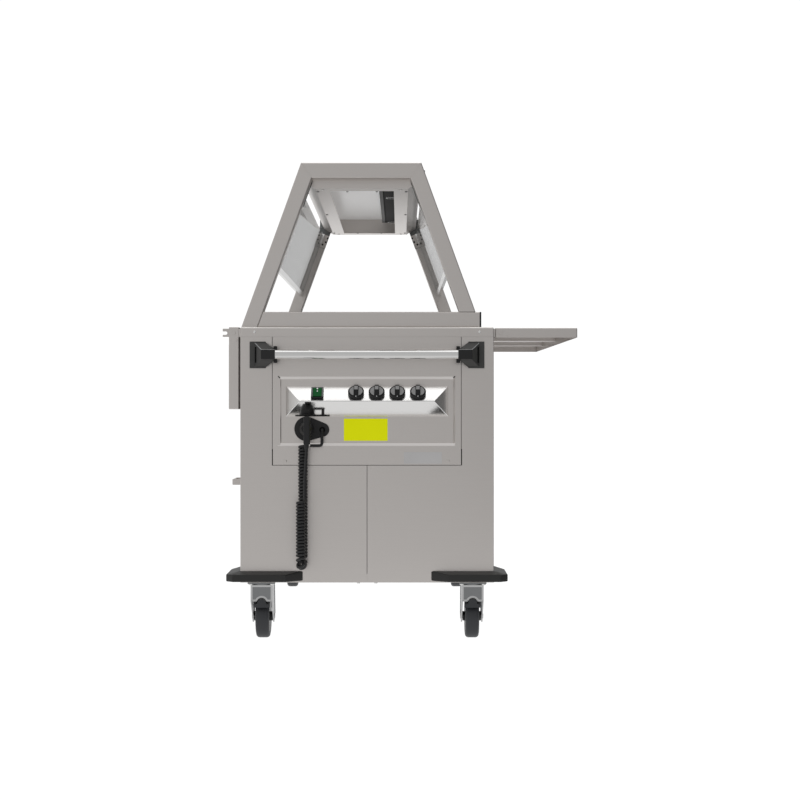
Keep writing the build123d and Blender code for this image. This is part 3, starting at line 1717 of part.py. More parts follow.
cord_wire = cord_line.wires()[0]
tube_volume = math.pi * cord_diameter ** 2 / 4 * cord_wire.length
print("cord length", round(cord_wire.length, 1), "turns", coil_turns, "bend radius", round(bend_radius, 1))
print("cord volume over section times length", round(power_cord.part.volume / tube_volume, 4))

# The least gap of the cord to itself, on points along each of its arcs
samples = []
travelled = 0
samples_per_edge = 4
for edge in cord_line.edges():
    for step in range(samples_per_edge):
        edge_share = step / samples_per_edge
        samples.append((travelled + edge.length * edge_share, tuple(edge @ edge_share)))
    travelled += edge.length
apart = 2 * coil_radius
least_gap = min(
    math.dist(point, other_point)
    for index, (place, point) in enumerate(samples)
    for other_place, other_point in samples[index + 1:]
    if other_place - place > apart
)
print("least gap of the cord to itself", round(least_gap - cord_diameter, 2))

# Drain: a bent pipe below the wells that falls through the deck to a cock with a lever
drain_near = well_places[0] - 2 * drain_radius
drain_foot = deck_level - drain_fall
cock_top = drain_foot - fit_gap
cock_middle = cock_top - cock_body / 2
stem_front = drain_end_y - cock_body / 2


def drain_run(start_y, foot, radius, mode):
    with BuildLine() as run:
        FilletPolyline(
            (drain_x, start_y, drain_level),
            (drain_x, drain_end_y, drain_level),
            (drain_x, drain_end_y, foot),
            radius=2 * drain_radius,
        )
    with BuildSketch(Plane(run.line @ 0, z_dir=run.line % 0)) as ring:
        Circle(radius)
    sweep(ring.sketch, path=run.line, mode=mode)


with BuildPart() as pipe_body:
    drain_run(drain_near, drain_foot, drain_radius, Mode.ADD)
    for place in well_places:
        post(drain_x, place, drain_level, well_bottom - sheet, drain_bore_radius)
    drain_run(drain_near + drain_wall, drain_foot - overrun, drain_radius - drain_wall, Mode.SUBTRACT)
    for place in well_places:
        post(drain_x, place, drain_level, well_bottom, drain_bore_radius - drain_wall, Mode.SUBTRACT)

with BuildPart() as cock_solid:
    span_box(
        (drain_x - cock_body / 2, drain_x + cock_body / 2),
        (stem_front, drain_end_y + cock_body / 2),
        (cock_top - cock_body, cock_top),
    )
    fillet(cock_solid.edges().filter_by(Axis.Z), radius=edge_bend)
    post(drain_x, drain_end_y, cock_top - cock_body - cock_spout, cock_top - cock_body, drain_radius)
    post(
        drain_x,
        drain_end_y,
        cock_top - cock_body - cock_spout - overrun,
        cock_top + overrun,
        drain_radius - drain_wall,
        Mode.SUBTRACT,
    )
    long_pin(drain_x, (stem_front - lever_thickness - fit_gap, stem_front), cock_middle, cock_stem_radius)

with BuildPart() as drain_pipe:
    add(pipe_body.part)
    add(cock_solid.part)
drain_pipe.part.label = "drain_pipe"
export_step(drain_pipe.part, "parts/drain_pipe.step")

with BuildPart() as drain_lever:
    lever_span = (stem_front - lever_thickness - fit_gap, stem_front - fit_gap)
    long_pin(drain_x, lever_span, cock_middle, lever_hub_radius)
    span_box(
        (drain_x - lever_length, drain_x),
        lever_span,
        (cock_middle - lever_width / 2, cock_middle + lever_width / 2),
    )
    bore_span = (lever_span[0] - overrun, lever_span[1] + overrun)
    long_pin(drain_x, bore_span, cock_middle, cock_stem_radius + running_gap, Mode.SUBTRACT)
drain_lever.part.label = "drain_lever"
export_step(drain_lever.part, "parts/drain_lever.step")

# Terminal box on the deck behind the control end
box_x = body_centre_x - box_offset_x
box_near = deck_near + post_size
with BuildPart() as terminal_box:
    span_box(
        (box_x - box_length_x / 2, box_x + box_length_x / 2),
        (box_near, box_near + box_width_y),
        (deck_level + sheet, deck_level + sheet + box_height),
    )
    fillet(terminal_box.edges().filter_by(Axis.Z), radius=edge_bend)
terminal_box.part.label = "terminal_box"
export_step(terminal_box.part, "parts/terminal_box.step")

# Screws and bolts that show: ends, control cover, canopy, base and caster plates
heads = []


def head_on(plane, point, radius, height):
    placed = Plane(point, x_dir=plane.x_dir, z_dir=plane.z_dir)
    heads.append(domed_head(placed, radius, height, screw_round))


near_face = Plane.XZ
far_face = Plane(origin=(0, 0, 0), x_dir=(-1, 0, 0), z_dir=(0, 1, 0))
under_face = Plane(origin=(0, 0, 0), x_dir=(1, 0, 0), z_dir=(0, 0, -1))
for side in (-1, 1):
    top_x = body_centre_x + side * top_screw_side
    head_on(near_face, (top_x, near_y, worktop_height - top_screw_drop), screw_radius, screw_head)
    head_on(far_face, (top_x, far_y, worktop_height - top_screw_drop), screw_radius, screw_head)
    cover_x = (cover_left + cover_screw_inset) if side < 0 else (cover_right - cover_screw_inset)
    head_on(near_face, (cover_x, near_y, cover_bottom + cover_screw_rise), screw_radius, screw_head)
    bolt_x = body_centre_x + side * bolt_spacing
    for end in (-1, 1):
        bolt_y = end * (body_length / 2 - sheet - bolt_setback)
        head_on(under_face, (bolt_x, bolt_y, body_bottom), bolt_radius, bolt_head)
    for level_y in (-1, -canopy_middle_share, canopy_middle_share, 1):
        screw_y = level_y * (guard_inner_y - window_end_inset / 2)
        screw_x = guard_x + side * (window_half + canopy_bottom_half) / 2
        head_on(under_face, (screw_x, screw_y, canopy_bottom), screw_radius, screw_head)
for place_x, place_y, trail_sign in caster_places.values():
    for side in (-1, 1):
        for end in (-1, 1):
            bolt_x = place_x + side * (plate_width / 2 - caster_bolt_inset)
            bolt_y = place_y + end * (plate_length / 2 - caster_bolt_inset)
            head_on(under_face, (bolt_x, bolt_y, plate_bottom), caster_bolt_radius, caster_bolt_head)

with BuildPart() as fasteners:
    for head in heads:
        add(head)
fasteners.part.label = "fasteners"
export_step(fasteners.part, "parts/fasteners.step")
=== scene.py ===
import math

import bpy
from mathutils import Matrix, Vector


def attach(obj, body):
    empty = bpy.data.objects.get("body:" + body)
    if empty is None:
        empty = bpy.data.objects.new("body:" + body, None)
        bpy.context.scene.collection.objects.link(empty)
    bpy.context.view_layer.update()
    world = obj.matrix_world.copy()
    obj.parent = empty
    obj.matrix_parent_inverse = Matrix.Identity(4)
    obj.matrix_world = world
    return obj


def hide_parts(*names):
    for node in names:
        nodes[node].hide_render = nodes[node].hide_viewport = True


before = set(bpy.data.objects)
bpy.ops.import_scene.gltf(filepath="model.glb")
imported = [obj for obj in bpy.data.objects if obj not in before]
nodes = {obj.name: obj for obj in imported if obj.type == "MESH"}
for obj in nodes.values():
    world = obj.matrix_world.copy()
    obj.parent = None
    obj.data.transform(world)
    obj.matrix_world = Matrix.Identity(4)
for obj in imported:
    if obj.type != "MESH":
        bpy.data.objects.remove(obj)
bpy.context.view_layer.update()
body = "trolley"
bpy.ops.object.select_all(action="DESELECT")
print("frame loaded:", len(nodes), "parts")

# Camera: level, straight along the trolley, with the vanishing point in mid picture
cameraSetup = {"place": (0, -5.785, 0.691), "lens": 78.6, "sensor": 36}
bpy.ops.object.camera_add(location=cameraSetup["place"], rotation=(math.pi / 2, 0, 0))
camera = bpy.context.active_object
camera.data.lens = cameraSetup["lens"]
camera.data.sensor_width = cameraSetup["sensor"]
camera.data.clip_end = 100
bpy.context.scene.camera = camera
bpy.context.scene.view_settings.view_transform = "Standard"


# Shader maths: a socket that takes part in Python sums
class Wire:
    def __init__(self, tree, socket):
        self.tree = tree
        self.socket = socket

    def sum(self, operation, other, turnedRound=False):
        made = self.tree.nodes.new("ShaderNodeMath")
        made.operation = operation
        feed(self.tree, made.inputs[int(turnedRound)], self)
        feed(self.tree, made.inputs[int(not turnedRound)], other)
        return Wire(self.tree, made.outputs[0])

    def __add__(self, other):
        return self.sum("ADD", other)

    def __sub__(self, other):
        return self.sum("SUBTRACT", other)

    def __rsub__(self, other):
        return self.sum("SUBTRACT", other, True)

    def __mul__(self, other):
        return self.sum("MULTIPLY", other)

    __radd__ = __add__
    __rmul__ = __mul__


def feed(tree, slot, value):
    if isinstance(value, Wire):
        tree.links.new(value.socket, slot)
    else:
        slot.default_value = value


class Finish:
    # A material, or the sky, drawn up afresh from nodes
    def __init__(self, owner, place="Object"):
        owner.use_nodes = True
        self.owner = owner
        self.tree = owner.node_tree
        self.tree.nodes.clear()
        self.place = self.node("ShaderNodeTexCoord", place)

    def node(self, kind, output=0, settings=None, sockets=None):
        made = self.tree.nodes.new(kind)
        for name, value in (settings or {}).items():
            setattr(made, name, value)
        for name, value in (sockets or {}).items():
            feed(self.tree, made.inputs[name], value)
        return Wire(self.tree, made.outputs[output]) if made.outputs else made

    def noise(self, stretch, detail=2.0, scale=1.0):
        spread = self.node("ShaderNodeMapping", sockets={"Vector": self.place, "Scale": stretch})
        return self.node("ShaderNodeTexNoise", sockets={"Vector": spread, "Scale": scale, "Detail": detail})

    def between(self, factor, first, second):
        # Mix node in colour mode: its colour sockets are 6 and 7
        first, second = (end if isinstance(end, Wire) else (*end, 1) for end in (first, second))
        return self.node("ShaderNodeMix", 2, {"data_type": "RGBA"}, {0: factor, 6: first, 7: second})

    def bump(self, height, strength, distance):
        sockets = {"Height": height, "Strength": strength, "Distance": distance}
        return self.node("ShaderNodeBump", sockets=sockets)

    def surface(self, **sockets):
        named = {name.replace("_", " "): value for name, value in sockets.items()}
        for name in ("Base Color", "Emission Color"):
            if isinstance(named.get(name), tuple):
                named[name] = (*named[name], 1)
        shader = self.node("ShaderNodeBsdfPrincipled", sockets=named)
        self.node("ShaderNodeOutputMaterial", sockets={"Surface": shader})
        return self.owner


def shaded(colour, share):
    return tuple(channel * share for channel in colour)


steelTones = {
    "satin": (0.725, 0.688, 0.661),
    "polished": (0.93, 0.925, 0.915),
    "bar": (0.8184, 0.814, 0.8052),
    "zinc": (0.27, 0.275, 0.28),
}
grainRuns = {"X": (9, 420, 420), "Y": (420, 9, 420), "Z": (420, 420, 9)}


def steelFinish(name, tone, roughness, run, contrast=0.03, relief=0.00002):
    finish = Finish(bpy.data.materials.new(name))
    grain = finish.noise(grainRuns[run], 3.0)
    cloud = finish.noise((2.2, 2.2, 2.2), 2.0)
    mixture = grain * 0.7 + cloud * 0.3
    colour = finish.between(mixture, shaded(tone, 1 - contrast), shaded(tone, 1 + contrast))
    return finish.surface(
        Base_Color=colour,
        Metallic=1.0,
        Roughness=roughness + (grain - 0.5) * 0.08 + (cloud - 0.5) * 0.04,
        Normal=finish.bump(grain, 0.25, relief),
    )


def plasticFinish(name, tone, roughness, grainScale=900, relief=0.00003, shine=0.5, glow=(0, 0, 0)):
    finish = Finish(bpy.data.materials.new(name))
    pebble = finish.noise((grainScale, grainScale, grainScale), 1.0)
    cloud = finish.noise((6, 6, 6), 2.0)
    colour = finish.between(cloud, shaded(tone, 0.9), shaded(tone, 1.1))
    return finish.surface(
        Base_Color=colour,
        Roughness=roughness + (cloud - 0.5) * 0.08,
        Specular_IOR_Level=shine,
        Emission_Color=glow,
        Emission_Strength=1.0,
        Normal=finish.bump(pebble, 0.3, relief),
    )


def glassFinish():
    finish = Finish(bpy.data.materials.new("tintedGlass"))
    film = finish.noise((5, 5, 5), 2.0)
    return finish.surface(
        Base_Color=finish.between(film, (0.46, 0.48, 0.475), (0.5, 0.52, 0.515)),
        Roughness=film * 0.012,
        IOR=1.5,
        Alpha=0.72,
    )


finishes = {
    "steelX": steelFinish("satinSteelAcross", steelTones["satin"], 0.34, "X"),
    "steelY": steelFinish("satinSteelAlong", steelTones["satin"], 0.34, "Y"),
    "steelZ": steelFinish("satinSteelUpright", steelTones["satin"], 0.34, "Z"),
    "mirrorX": steelFinish("polishedSteelAcross", steelTones["bar"], 0.07, "X", 0.01, 0.000002),
    "mirrorY": steelFinish("polishedSteelAlong", steelTones["polished"], 0.14, "Y", 0.01, 0.000002),
    "mirror": steelFinish("consoleSteel", steelTones["polished"], 0.08, "X", 0.008, 0.000001),
    "console": steelFinish("consoleSides", steelTones["polished"], 0.24, "X", 0.008, 0.000001),
    # A lighter copy of the satin steel: painted highlight on the worktop's bend and painted light on the
    # recess walls
    "bend": steelFinish("steelPaintedHighlight", (0.93, 0.9, 0.87), 0.5, "X", 0.02),
    "zinc": steelFinish("zincPlate", steelTones["zinc"], 0.3, "Z", 0.06),
    # A lighter copy of the zinc: painted highlight on the forks
    "zincPaintedHighlight": steelFinish("zincWithPaintedHighlight", (0.62, 0.62, 0.62), 0.3, "Z", 0.06),
    "brass": steelFinish("castBrass", (0.62, 0.48, 0.24), 0.35, "Z", 0.05),
    # White enamel with a painted glow, for the reflector
    "white": plasticFinish("whiteEnamelPaintedGlow", (0.95, 0.95, 0.94), 0.3, glow=(0.18, 0.18, 0.18)),
    "black": plasticFinish("blackMoulding", (0.022, 0.022, 0.023), 0.36, shine=0.3),
    # Black plastic made lighter as painted sheen: bracket plates, foot facets and a lamp edge
    "paintedSheenBlack": plasticFinish("blackWithPaintedSheen", (0.062, 0.062, 0.06), 0.5),
    "bumper": plasticFinish("bumperRubber", (0.02, 0.02, 0.019), 0.45, 500, shine=0.45),
    "tyre": plasticFinish("tyreRubber", (0.034, 0.036, 0.041), 0.45, 600),
    "grey": plasticFinish("greyMoulding", (0.2, 0.21, 0.21), 0.4),
    # Light grey of the wheel rims and index pins, also a painted highlight on the bracket foot's edge
    "lightGreyAndHighlight": plasticFinish("lightGreyMoulding", (0.5, 0.51, 0.52), 0.4),
    "green": plasticFinish("greenRocker", (0.014, 0.15, 0.04), 0.55, shine=0.15),
    "knob": plasticFinish("knobBlack", (0.011, 0.011, 0.012), 0.3, shine=0.3),
    # Grey of the knob caps, made lighter as painted sheen, and a painted highlight on the grips' tops
    "knobGreyAndSheen": plasticFinish("knobGreyWithPaintedSheen", (0.4, 0.4, 0.4), 0.35),
    # White print with a painted glow, also laid on as painted highlights on the console's mitres and the
    # lamp
    "printAndPaintedLight": plasticFinish("whitePrintAndPaintedLight", (0.9, 0.9, 0.9), 0.4, glow=(0.25, 0.25, 0.25)),
    # Grey with a painted glow: painted light on the recess's bands
    "paintedLight": plasticFinish("paintedLightBand", (0.32, 0.31, 0.3), 0.6, shine=0.1, glow=(0.35, 0.335, 0.325)),
    # Near black laid where there is only shade: grooves, slits, notches, holes, gaps and down-facing faces
    "paintedShade": plasticFinish("paintedShadeBlack", (0.006, 0.006, 0.006), 0.7, shine=0.1),
    "cord": plasticFinish("cordSheath", (0.014, 0.014, 0.015), 0.38),
    # The yellow plate's own colour with a painted glow
    "yellow": plasticFinish("yellowPlate", (0.93, 0.98, 0.004), 0.5, shine=0.1, glow=(0.13, 0.136, 0)),
    # Silver of the plate, also a painted highlight on the bracket heads' top edges
    "silverAndHighlight": plasticFinish("silverPlate", (0.68, 0.67, 0.67), 0.35),
    "glass": glassFinish(),
    "lamp": plasticFinish("lampBlack", (0.032, 0.032, 0.034), 0.6, shine=0.06),
}
print("finishes made:", len(finishes))


# Modelling helpers
mergeReach = 0.00001  # corners nearer than this become one
sharpAngle = 35  # edges that turn more than this stay crisp, in degrees


def only(piece):
    bpy.ops.object.select_all(action="DESELECT")
    piece.select_set(True)
    bpy.context.view_layer.objects.active = piece
    return piece


def settle(piece, matrix=None):
    if matrix is not None:
        piece.matrix_world = matrix @ piece.matrix_world
    only(piece)
    bpy.ops.object.transform_apply(location=True, rotation=True, scale=True)
    return piece


def modify(piece, kind, **settings):
    step = piece.modifiers.new(kind.title(), kind)
    for name, value in settings.items():
        setattr(step, name, value)
    only(piece)
    bpy.ops.object.modifier_apply(modifier=step.name)
    return piece


def choose(piece, kind, test):
    # Opens a piece for editing with only those faces, edges or corners selected that pass the test
    only(piece)
    bpy.ops.object.mode_set(mode="EDIT")
    bpy.ops.mesh.select_mode(type=kind)
    bpy.ops.mesh.select_all(action="DESELECT")
    bpy.ops.object.mode_set(mode="OBJECT")
    mesh = piece.data
    if kind == "FACE":
        for face in mesh.polygons:
            face.select = test(face.center, face.normal)
    elif kind == "EDGE":
        for edge in mesh.edges:
            edge.select = test(*(mesh.vertices[index].co for index in edge.vertices))
    else:
        for vertex in mesh.vertices:
            vertex.select = test(vertex.co)
    bpy.ops.object.mode_set(mode="EDIT")


def openEdit(piece):
    # Opens a piece for editing with all of it selected
    only(piece)
    bpy.ops.object.mode_set(mode="EDIT")
    bpy.ops.mesh.select_all(action="SELECT")


def closeEdit():
    bpy.ops.object.mode_set(mode="OBJECT")


def moved(piece, test, shift):
    choose(piece, "VERT", test)
    bpy.ops.transform.translate(value=shift)
    closeEdit()


def sliced(piece, place, normal, clear=True, fill=True):
    # Cuts through a piece along a plane and clears what lies beyond it
    openEdit(piece)
    bpy.ops.mesh.bisect(plane_co=place, plane_no=normal, use_fill=fill and clear, clear_outer=clear)
    closeEdit()
    return piece


def repaint(piece, finish, test):
    # Gives a second finish to the faces that pass the test
    piece.data.materials.append(finishes[finish])
    number = len(piece.data.materials) - 1
    for face in piece.data.polygons:
        if test(face.center, face.normal):
            face.material_index = number


def soften(piece, width, segments=2, angle=sharpAngle):
    # Rounds the crisp edges and keeps the flat faces flat to the eye
    limit = math.radians(angle)
    modify(piece, "BEVEL", width=width, segments=segments, limit_method="ANGLE", angle_limit=limit)
    only(piece)
    bpy.ops.object.shade_smooth_by_angle(angle=limit)
    return modify(piece, "WEIGHTED_NORMAL", keep_sharp=True)


def block(name, low, high):
    centre = [(first + last) / 2 for first, last in zip(low, high)]
    size = [last - first for first, last in zip(low, high)]
    bpy.ops.mesh.primitive_cube_add(size=1, location=centre, scale=size)
    piece = bpy.context.active_object
    piece.name = name
    return settle(piece)


def turned(name, stations, sides=48, ring=False):
    # Rings of (height, radius) drawn up Z one after another; a ring-shaped piece ends where it began
    height, radius = stations[0]
    bpy.ops.mesh.primitive_circle_add(
        vertices=sides, radius=radius, fill_type="NOTHING" if ring else "NGON", location=(0, 0, height)
    )
    piece = settle(bpy.context.active_object)
    piece.name = name
    openEdit(piece)
    for nextHeight, nextRadius in stations[1:]:
        bpy.ops.mesh.extrude_region_move(TRANSFORM_OT_translate={"value": (0, 0, nextHeight - height)})
        share = nextRadius / radius
        bpy.ops.transform.resize(value=(share, share, 1))
        height, radius = nextHeight, nextRadius
    bpy.ops.mesh.select_all(action="SELECT")
    bpy.ops.mesh.remove_doubles(threshold=mergeReach)
    bpy.ops.mesh.normals_make_consistent(inside=False)
    closeEdit()
    only(piece)
    bpy.ops.object.shade_smooth_by_angle(angle=math.radians(sharpAngle))
    return piece


def paint(piece, finish):
    piece.data.materials.clear()
    piece.data.materials.append(finishes[finish])
    return piece


def twin(piece, matrix=None):
    copy = bpy.data.objects.new(piece.name, piece.data.copy())
    bpy.context.scene.collection.objects.link(copy)
    return settle(copy, matrix)


def mirrored(piece, across, along, middle):
    # A copy reflected about the upright planes through the middle
    mirror = Matrix.Diagonal((across, along, 1, 1))
    copy = twin(piece, Matrix.Translation((middle, 0, 0)) @ mirror)
    if across != along:
        openEdit(copy)
        bpy.ops.mesh.flip_normals()
        closeEdit()
    return modify(copy, "WEIGHTED_NORMAL", keep_sharp=True)


def joined(name, parts):
    bpy.ops.object.select_all(action="DESELECT")
    for part in parts:
        part.select_set(True)
    bpy.context.view_layer.objects.active = parts[0]
    bpy.ops.object.join()
    parts[0].name = name
    return parts[0]


def mount(piece, onBody=body, replaced=()):
    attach(piece, onBody)
    if replaced:
        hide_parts(*replaced)
    return piece


def cladding(name, node, finish, onBody=body, width=0.001, segments=2):
    # A copy of a CAD part with its edges rounded, which stands for it
    piece = bpy.data.objects.new(name, nodes[node].data.copy())
    bpy.context.scene.collection.objects.link(piece)
    openEdit(piece)
    bpy.ops.mesh.remove_doubles(threshold=mergeReach)
    bpy.ops.mesh.dissolve_limited(angle_limit=math.radians(1))
    closeEdit()
    if width:
        soften(piece, width, segments)
    paint(piece, finish)
    return mount(piece, onBody, [node])


def axisMatrix(place, direction, across=(1, 0, 0)):
    # Turns local Z to the direction and local X towards across, and moves to the place
    zWay = Vector(direction).normalized()
    yWay = zWay.cross(Vector(across)).normalized()
    xWay = yWay.cross(zWay)
    turn = Matrix((xWay, yWay, zWay)).transposed().to_4x4()
    return Matrix.Translation(place) @ turn


# Curly cord: a route down, round below and up again, with the coils wound on it
cordShape = {
    "diameter": 0.0085,
    "length": 3.644,
    "coilRadius": 0.00975,
    "pitch": 0.00925,
    "frontTurns": 17,
    "bendTurns": 5,
    "rearTurns": 34,
    "front": (-0.2806, -0.8495),
    "rear": (-0.277, -0.8005),
    "coilTop": 0.404,
    "plugExit": (-0.265, -0.83975, 0.552),
    "gland": (-0.26725, -0.787, 0.56325),
    "pointsPerTurn": 12,
}


def smoothCurve(name, points, resolution):
    line = bpy.data.curves.new(name, "CURVE")
    line.dimensions = "3D"
    line.resolution_u = resolution
    spline = line.splines.new("NURBS")
    spline.points.add(len(points) - 1)
    for knot, place in zip(spline.points, points):
        knot.co = (*place, 1)
    spline.order_u = 3
    spline.use_endpoint_u = True
    piece = bpy.data.objects.new(name, line)
    bpy.context.scene.collection.objects.link(piece)
    return piece


def curlyCord(shape):
    front = Vector((*shape["front"], 0))
    rear = Vector((*shape["rear"], 0))
    backWay = (rear - front).normalized()
    sideWay = Vector((0, 0, 1)).cross(backWay)
    bendRadius = (rear - front).length / 2
    bendLevel = shape["coilTop"] - shape["frontTurns"] * shape["pitch"]
    rearTop = bendLevel + shape["rearTurns"] * shape["pitch"]
    lift = Vector((0, 0, 1))
    middle = (front + rear) / 2
    route = [
        front + lift * shape["coilTop"],
        front + lift * (shape["coilTop"] + bendLevel) / 2,
        front + lift * bendLevel,
        front + lift * (bendLevel - bendRadius),
        middle + lift * (bendLevel - bendRadius),
        rear + lift * (bendLevel - bendRadius),
        rear + lift * bendLevel,
        rear + lift * (bendLevel + rearTop) / 2,
        rear + lift * rearTop,
    ]
    guide = smoothCurve("cordRoute", route, 40)
    bpy.context.view_layer.update()
    traced = bpy.data.meshes.new_from_object(guide)
    line = [vertex.co.copy() for vertex in traced.vertices]
    bpy.data.objects.remove(guide)
    bpy.data.meshes.remove(traced)
    travelled = [0.0]
    for before, after in zip(line, line[1:]):
        travelled.append(travelled[-1] + (after - before).length)
    low = [index for index, point in enumerate(line) if point.z < bendLevel]
    bendStart, bendEnd = travelled[low[0]], travelled[low[-1]]
    turnMarks = (0, shape["frontTurns"], shape["frontTurns"] + shape["bendTurns"])
    turns = turnMarks[2] + shape["rearTurns"]
    wayMarks = (0, bendStart, bendEnd, travelled[-1])

    def along(distance):
        index = max(1, next((i for i, far in enumerate(travelled) if far >= distance), len(line) - 1))
        share = (distance - travelled[index - 1]) / (travelled[index] - travelled[index - 1])
        step = line[index] - line[index - 1]
        return line[index - 1] + step * share, step.normalized()

    points = []
    perTurn = shape["pointsPerTurn"]
    controlRadius = shape["coilRadius"] * 2 / (1 + math.cos(math.pi / perTurn))
    for count in range(turns * perTurn + 1):
        turn = count / perTurn
        stage = 0 if turn <= turnMarks[1] else 1 if turn <= turnMarks[2] else 2
        ends = (*turnMarks, turns)
        share = (turn - ends[stage]) / (ends[stage + 1] - ends[stage])
        centre, way = along(wayMarks[stage] + (wayMarks[stage + 1] - wayMarks[stage]) * share)
        inward = way.cross(sideWay)
        angle = 2 * math.pi * turn
        points.append(centre - (sideWay * math.cos(angle) + inward * math.sin(angle)) * controlRadius)
    top = Vector(shape["plugExit"])
    out = Vector(shape["gland"])
    lead = points[0] + (backWay + lift) * shape["coilRadius"]
    tail = [top, top - lift * 2 * shape["diameter"], lead + lift * 6 * shape["diameter"], lead]
    finishRun = [Vector((out.x, rear.y, out.z)), out]
    cord = smoothCurve("powerCord", tail + points[:-1] + finishRun, 3)
    cord.data.bevel_depth = shape["diameter"] / 2
    cord.data.bevel_resolution = 3
    cord.data.use_fill_caps = True
    cord.data.materials.append(finishes["cord"])
    return cord


powerCord = mount(curlyCord(cordShape), replaced=["power_cord"])
print("cord laid")


# Plug: a round head against the holder, a flat grip in front and a tapered neck to the cord
plugShape = {
    "centre": (-0.2676, 0.6083),
    "back": -0.7843,
    "stations": (
        (0, 0.0232), (0.0025, 0.0232), (0.003, 0.0215), (0.0045, 0.0212), (0.012, 0.0208),
        (0.022, 0.0178), (0.031, 0.0132), (0.0325, 0.0118),
    ),
    "ribWidth": 0.0186,
    "ribShift": 0.0011,
    "ribTop": 0.6443,
    "ribFoot": 0.012,
    "ribFront": -0.8478,
    "ribBack": -0.8145,
    "ribSlope": 0.015,
    "ribBend": 0.004,
    "neck": ((0, 0.0048), (0.002, 0.0056), (0.02, 0.0086), (0.024, 0.0086)),
    "pin": ((0, 0.0024), (0.017, 0.0024), (0.019, 0.0014)),
    "pinShift": 0.0095,
    "exit": (-0.265, -0.83975, 0.552),
}


def makePlug(shape):
    x, z = shape["centre"]
    head = turned("plugHead", shape["stations"])
    settle(head, axisMatrix((x, shape["back"], z), (0, -1, 0)))
    half = shape["ribWidth"] / 2
    middle = shape["exit"][0] + shape["ribShift"]
    low = shape["exit"][2] + shape["ribFoot"]
    front, back = shape["ribFront"], shape["ribBack"]
    rib = block("plugRib", (middle - half, front, low), (middle + half, back, shape["ribTop"]))
    moved(rib, lambda place: place.z < low + 0.001 and place.y > front + 0.005, (0, -shape["ribSlope"], 0))
    soften(rib, shape["ribBend"], 3)
    neck = turned("plugNeck", shape["neck"], 32)
    settle(neck, Matrix.Translation(shape["exit"]))
    pins = []
    for side in (-1, 1):
        pin = turned("plugPin", shape["pin"], 24)
        pins.append(settle(pin, axisMatrix((x + side * shape["pinShift"], shape["back"], z), (0, 1, 0))))
        paint(pins[-1], "brass")
    for part in (head, rib, neck):
        paint(part, "black")
    return joined("plugBody", [head, rib, neck, *pins])


plugBody = mount(makePlug(plugShape), replaced=["plug"])
print("plug made")


# Knobs: one is turned and copied onto the sloping face of the console
faceShape = {"y": -0.8007, "z": 0.7089, "normal": (0, -0.70711, 0.70711)}
knobShape = {
    "places": (-0.12535, -0.06655, -0.00775, 0.05105),
    "stations": (
        (0.0008, 0.0222), (0.0014, 0.023), (0.0098, 0.023), (0.0116, 0.0214),
        (0.0119, 0.0196), (0.0112, 0.0188),
    ),
    "grip": ((-0.0058, -0.0202, 0.0105), (0.0058, 0.019, 0.0198)),
    "gripShade": ((-0.0069, -0.0178, 0.0105), (0.0069, 0.0178, 0.0116)),
    "slope": ((0, -0.002, 0.0198), (0, -0.376, 0.927)),
    "heel": ((0, 0.012, 0.0198), (0, 0.275, 0.961)),
    "gripBend": 0.0007,
    "dot": (0, -0.0212, 0.0114),
    "dotStations": ((0, 0.0011), (0.0007, 0.0011)),
    "dotWay": (0, -0.55, 0.83),
}


def onFace(x, lift=0.0):
    origin = Vector((x, faceShape["y"], faceShape["z"])) + Vector(faceShape["normal"]) * lift
    return axisMatrix(origin, faceShape["normal"])


def makeKnob(shape):
    base = paint(turned("knobBase", shape["stations"]), "knob")
    # The cap's flat top is grey, made lighter as painted sheen
    repaint(base, "knobGreyAndSheen", lambda centre, normal: normal.z > 0.99 and centre.z > 0.011)
    grip = paint(block("knobGrip", *shape["grip"]), "knob")
    sliced(grip, *shape["slope"])
    sliced(grip, *shape["heel"])
    soften(grip, shape["gripBend"], 2, 12)
    # The grip's top end is painted grey as a highlight
    repaint(grip, "knobGreyAndSheen", lambda centre, normal: normal.z > 0.99 and centre.z > 0.018)
    # A near-black slab round the grip's foot, painted shade in the groove
    gripShade = paint(block("knobGripShade", *shape["gripShade"]), "paintedShade")
    dot = turned("knobDot", shape["dotStations"], 20)
    settle(dot, axisMatrix(shape["dot"], shape["dotWay"]))
    return joined("knob", [base, grip, gripShade, paint(dot, "printAndPaintedLight")])


knobModel = makeKnob(knobShape)
for number, place in enumerate(knobShape["places"], 1):
    knob = twin(knobModel, onFace(place))
    mount(knob, f"knob_{number}", [f"knob_{number}"])
bpy.data.objects.remove(knobModel)
print("knobs made")


# Casters: a rubber tyre on a light rim with black hub covers
wheelShape = {
    "radius": 0.0625,
    "centres": {
        "near_left": (-0.39735, -0.696), "near_right": (0.20865, -0.696),
        "far_left": (-0.39735, 0.696), "far_right": (0.20865, 0.696),
    },
    "tyre": (
        (-0.0185, 0.045), (-0.0198, 0.0465), (-0.02, 0.052), (-0.0188, 0.0575), (-0.0155, 0.061),
        (-0.011, 0.0624), (0, 0.0625), (0.011, 0.0624), (0.0155, 0.061), (0.0188, 0.0575),
        (0.02, 0.052), (0.0198, 0.0465), (0.0185, 0.045), (-0.0185, 0.045),
    ),
    "rim": (
        (-0.0125, 0.0138), (-0.0125, 0.026), (-0.0145, 0.03), (-0.0145, 0.038), (-0.0185, 0.0425),
        (-0.019, 0.0452), (0.019, 0.0452), (0.0185, 0.0425), (0.0145, 0.038), (0.0145, 0.03),
        (0.0125, 0.026), (0.0125, 0.0138),
    ),
    "hub": ((-0.0268, 0.012), (-0.0262, 0.0138), (0.0262, 0.0138), (0.0268, 0.012)),
}


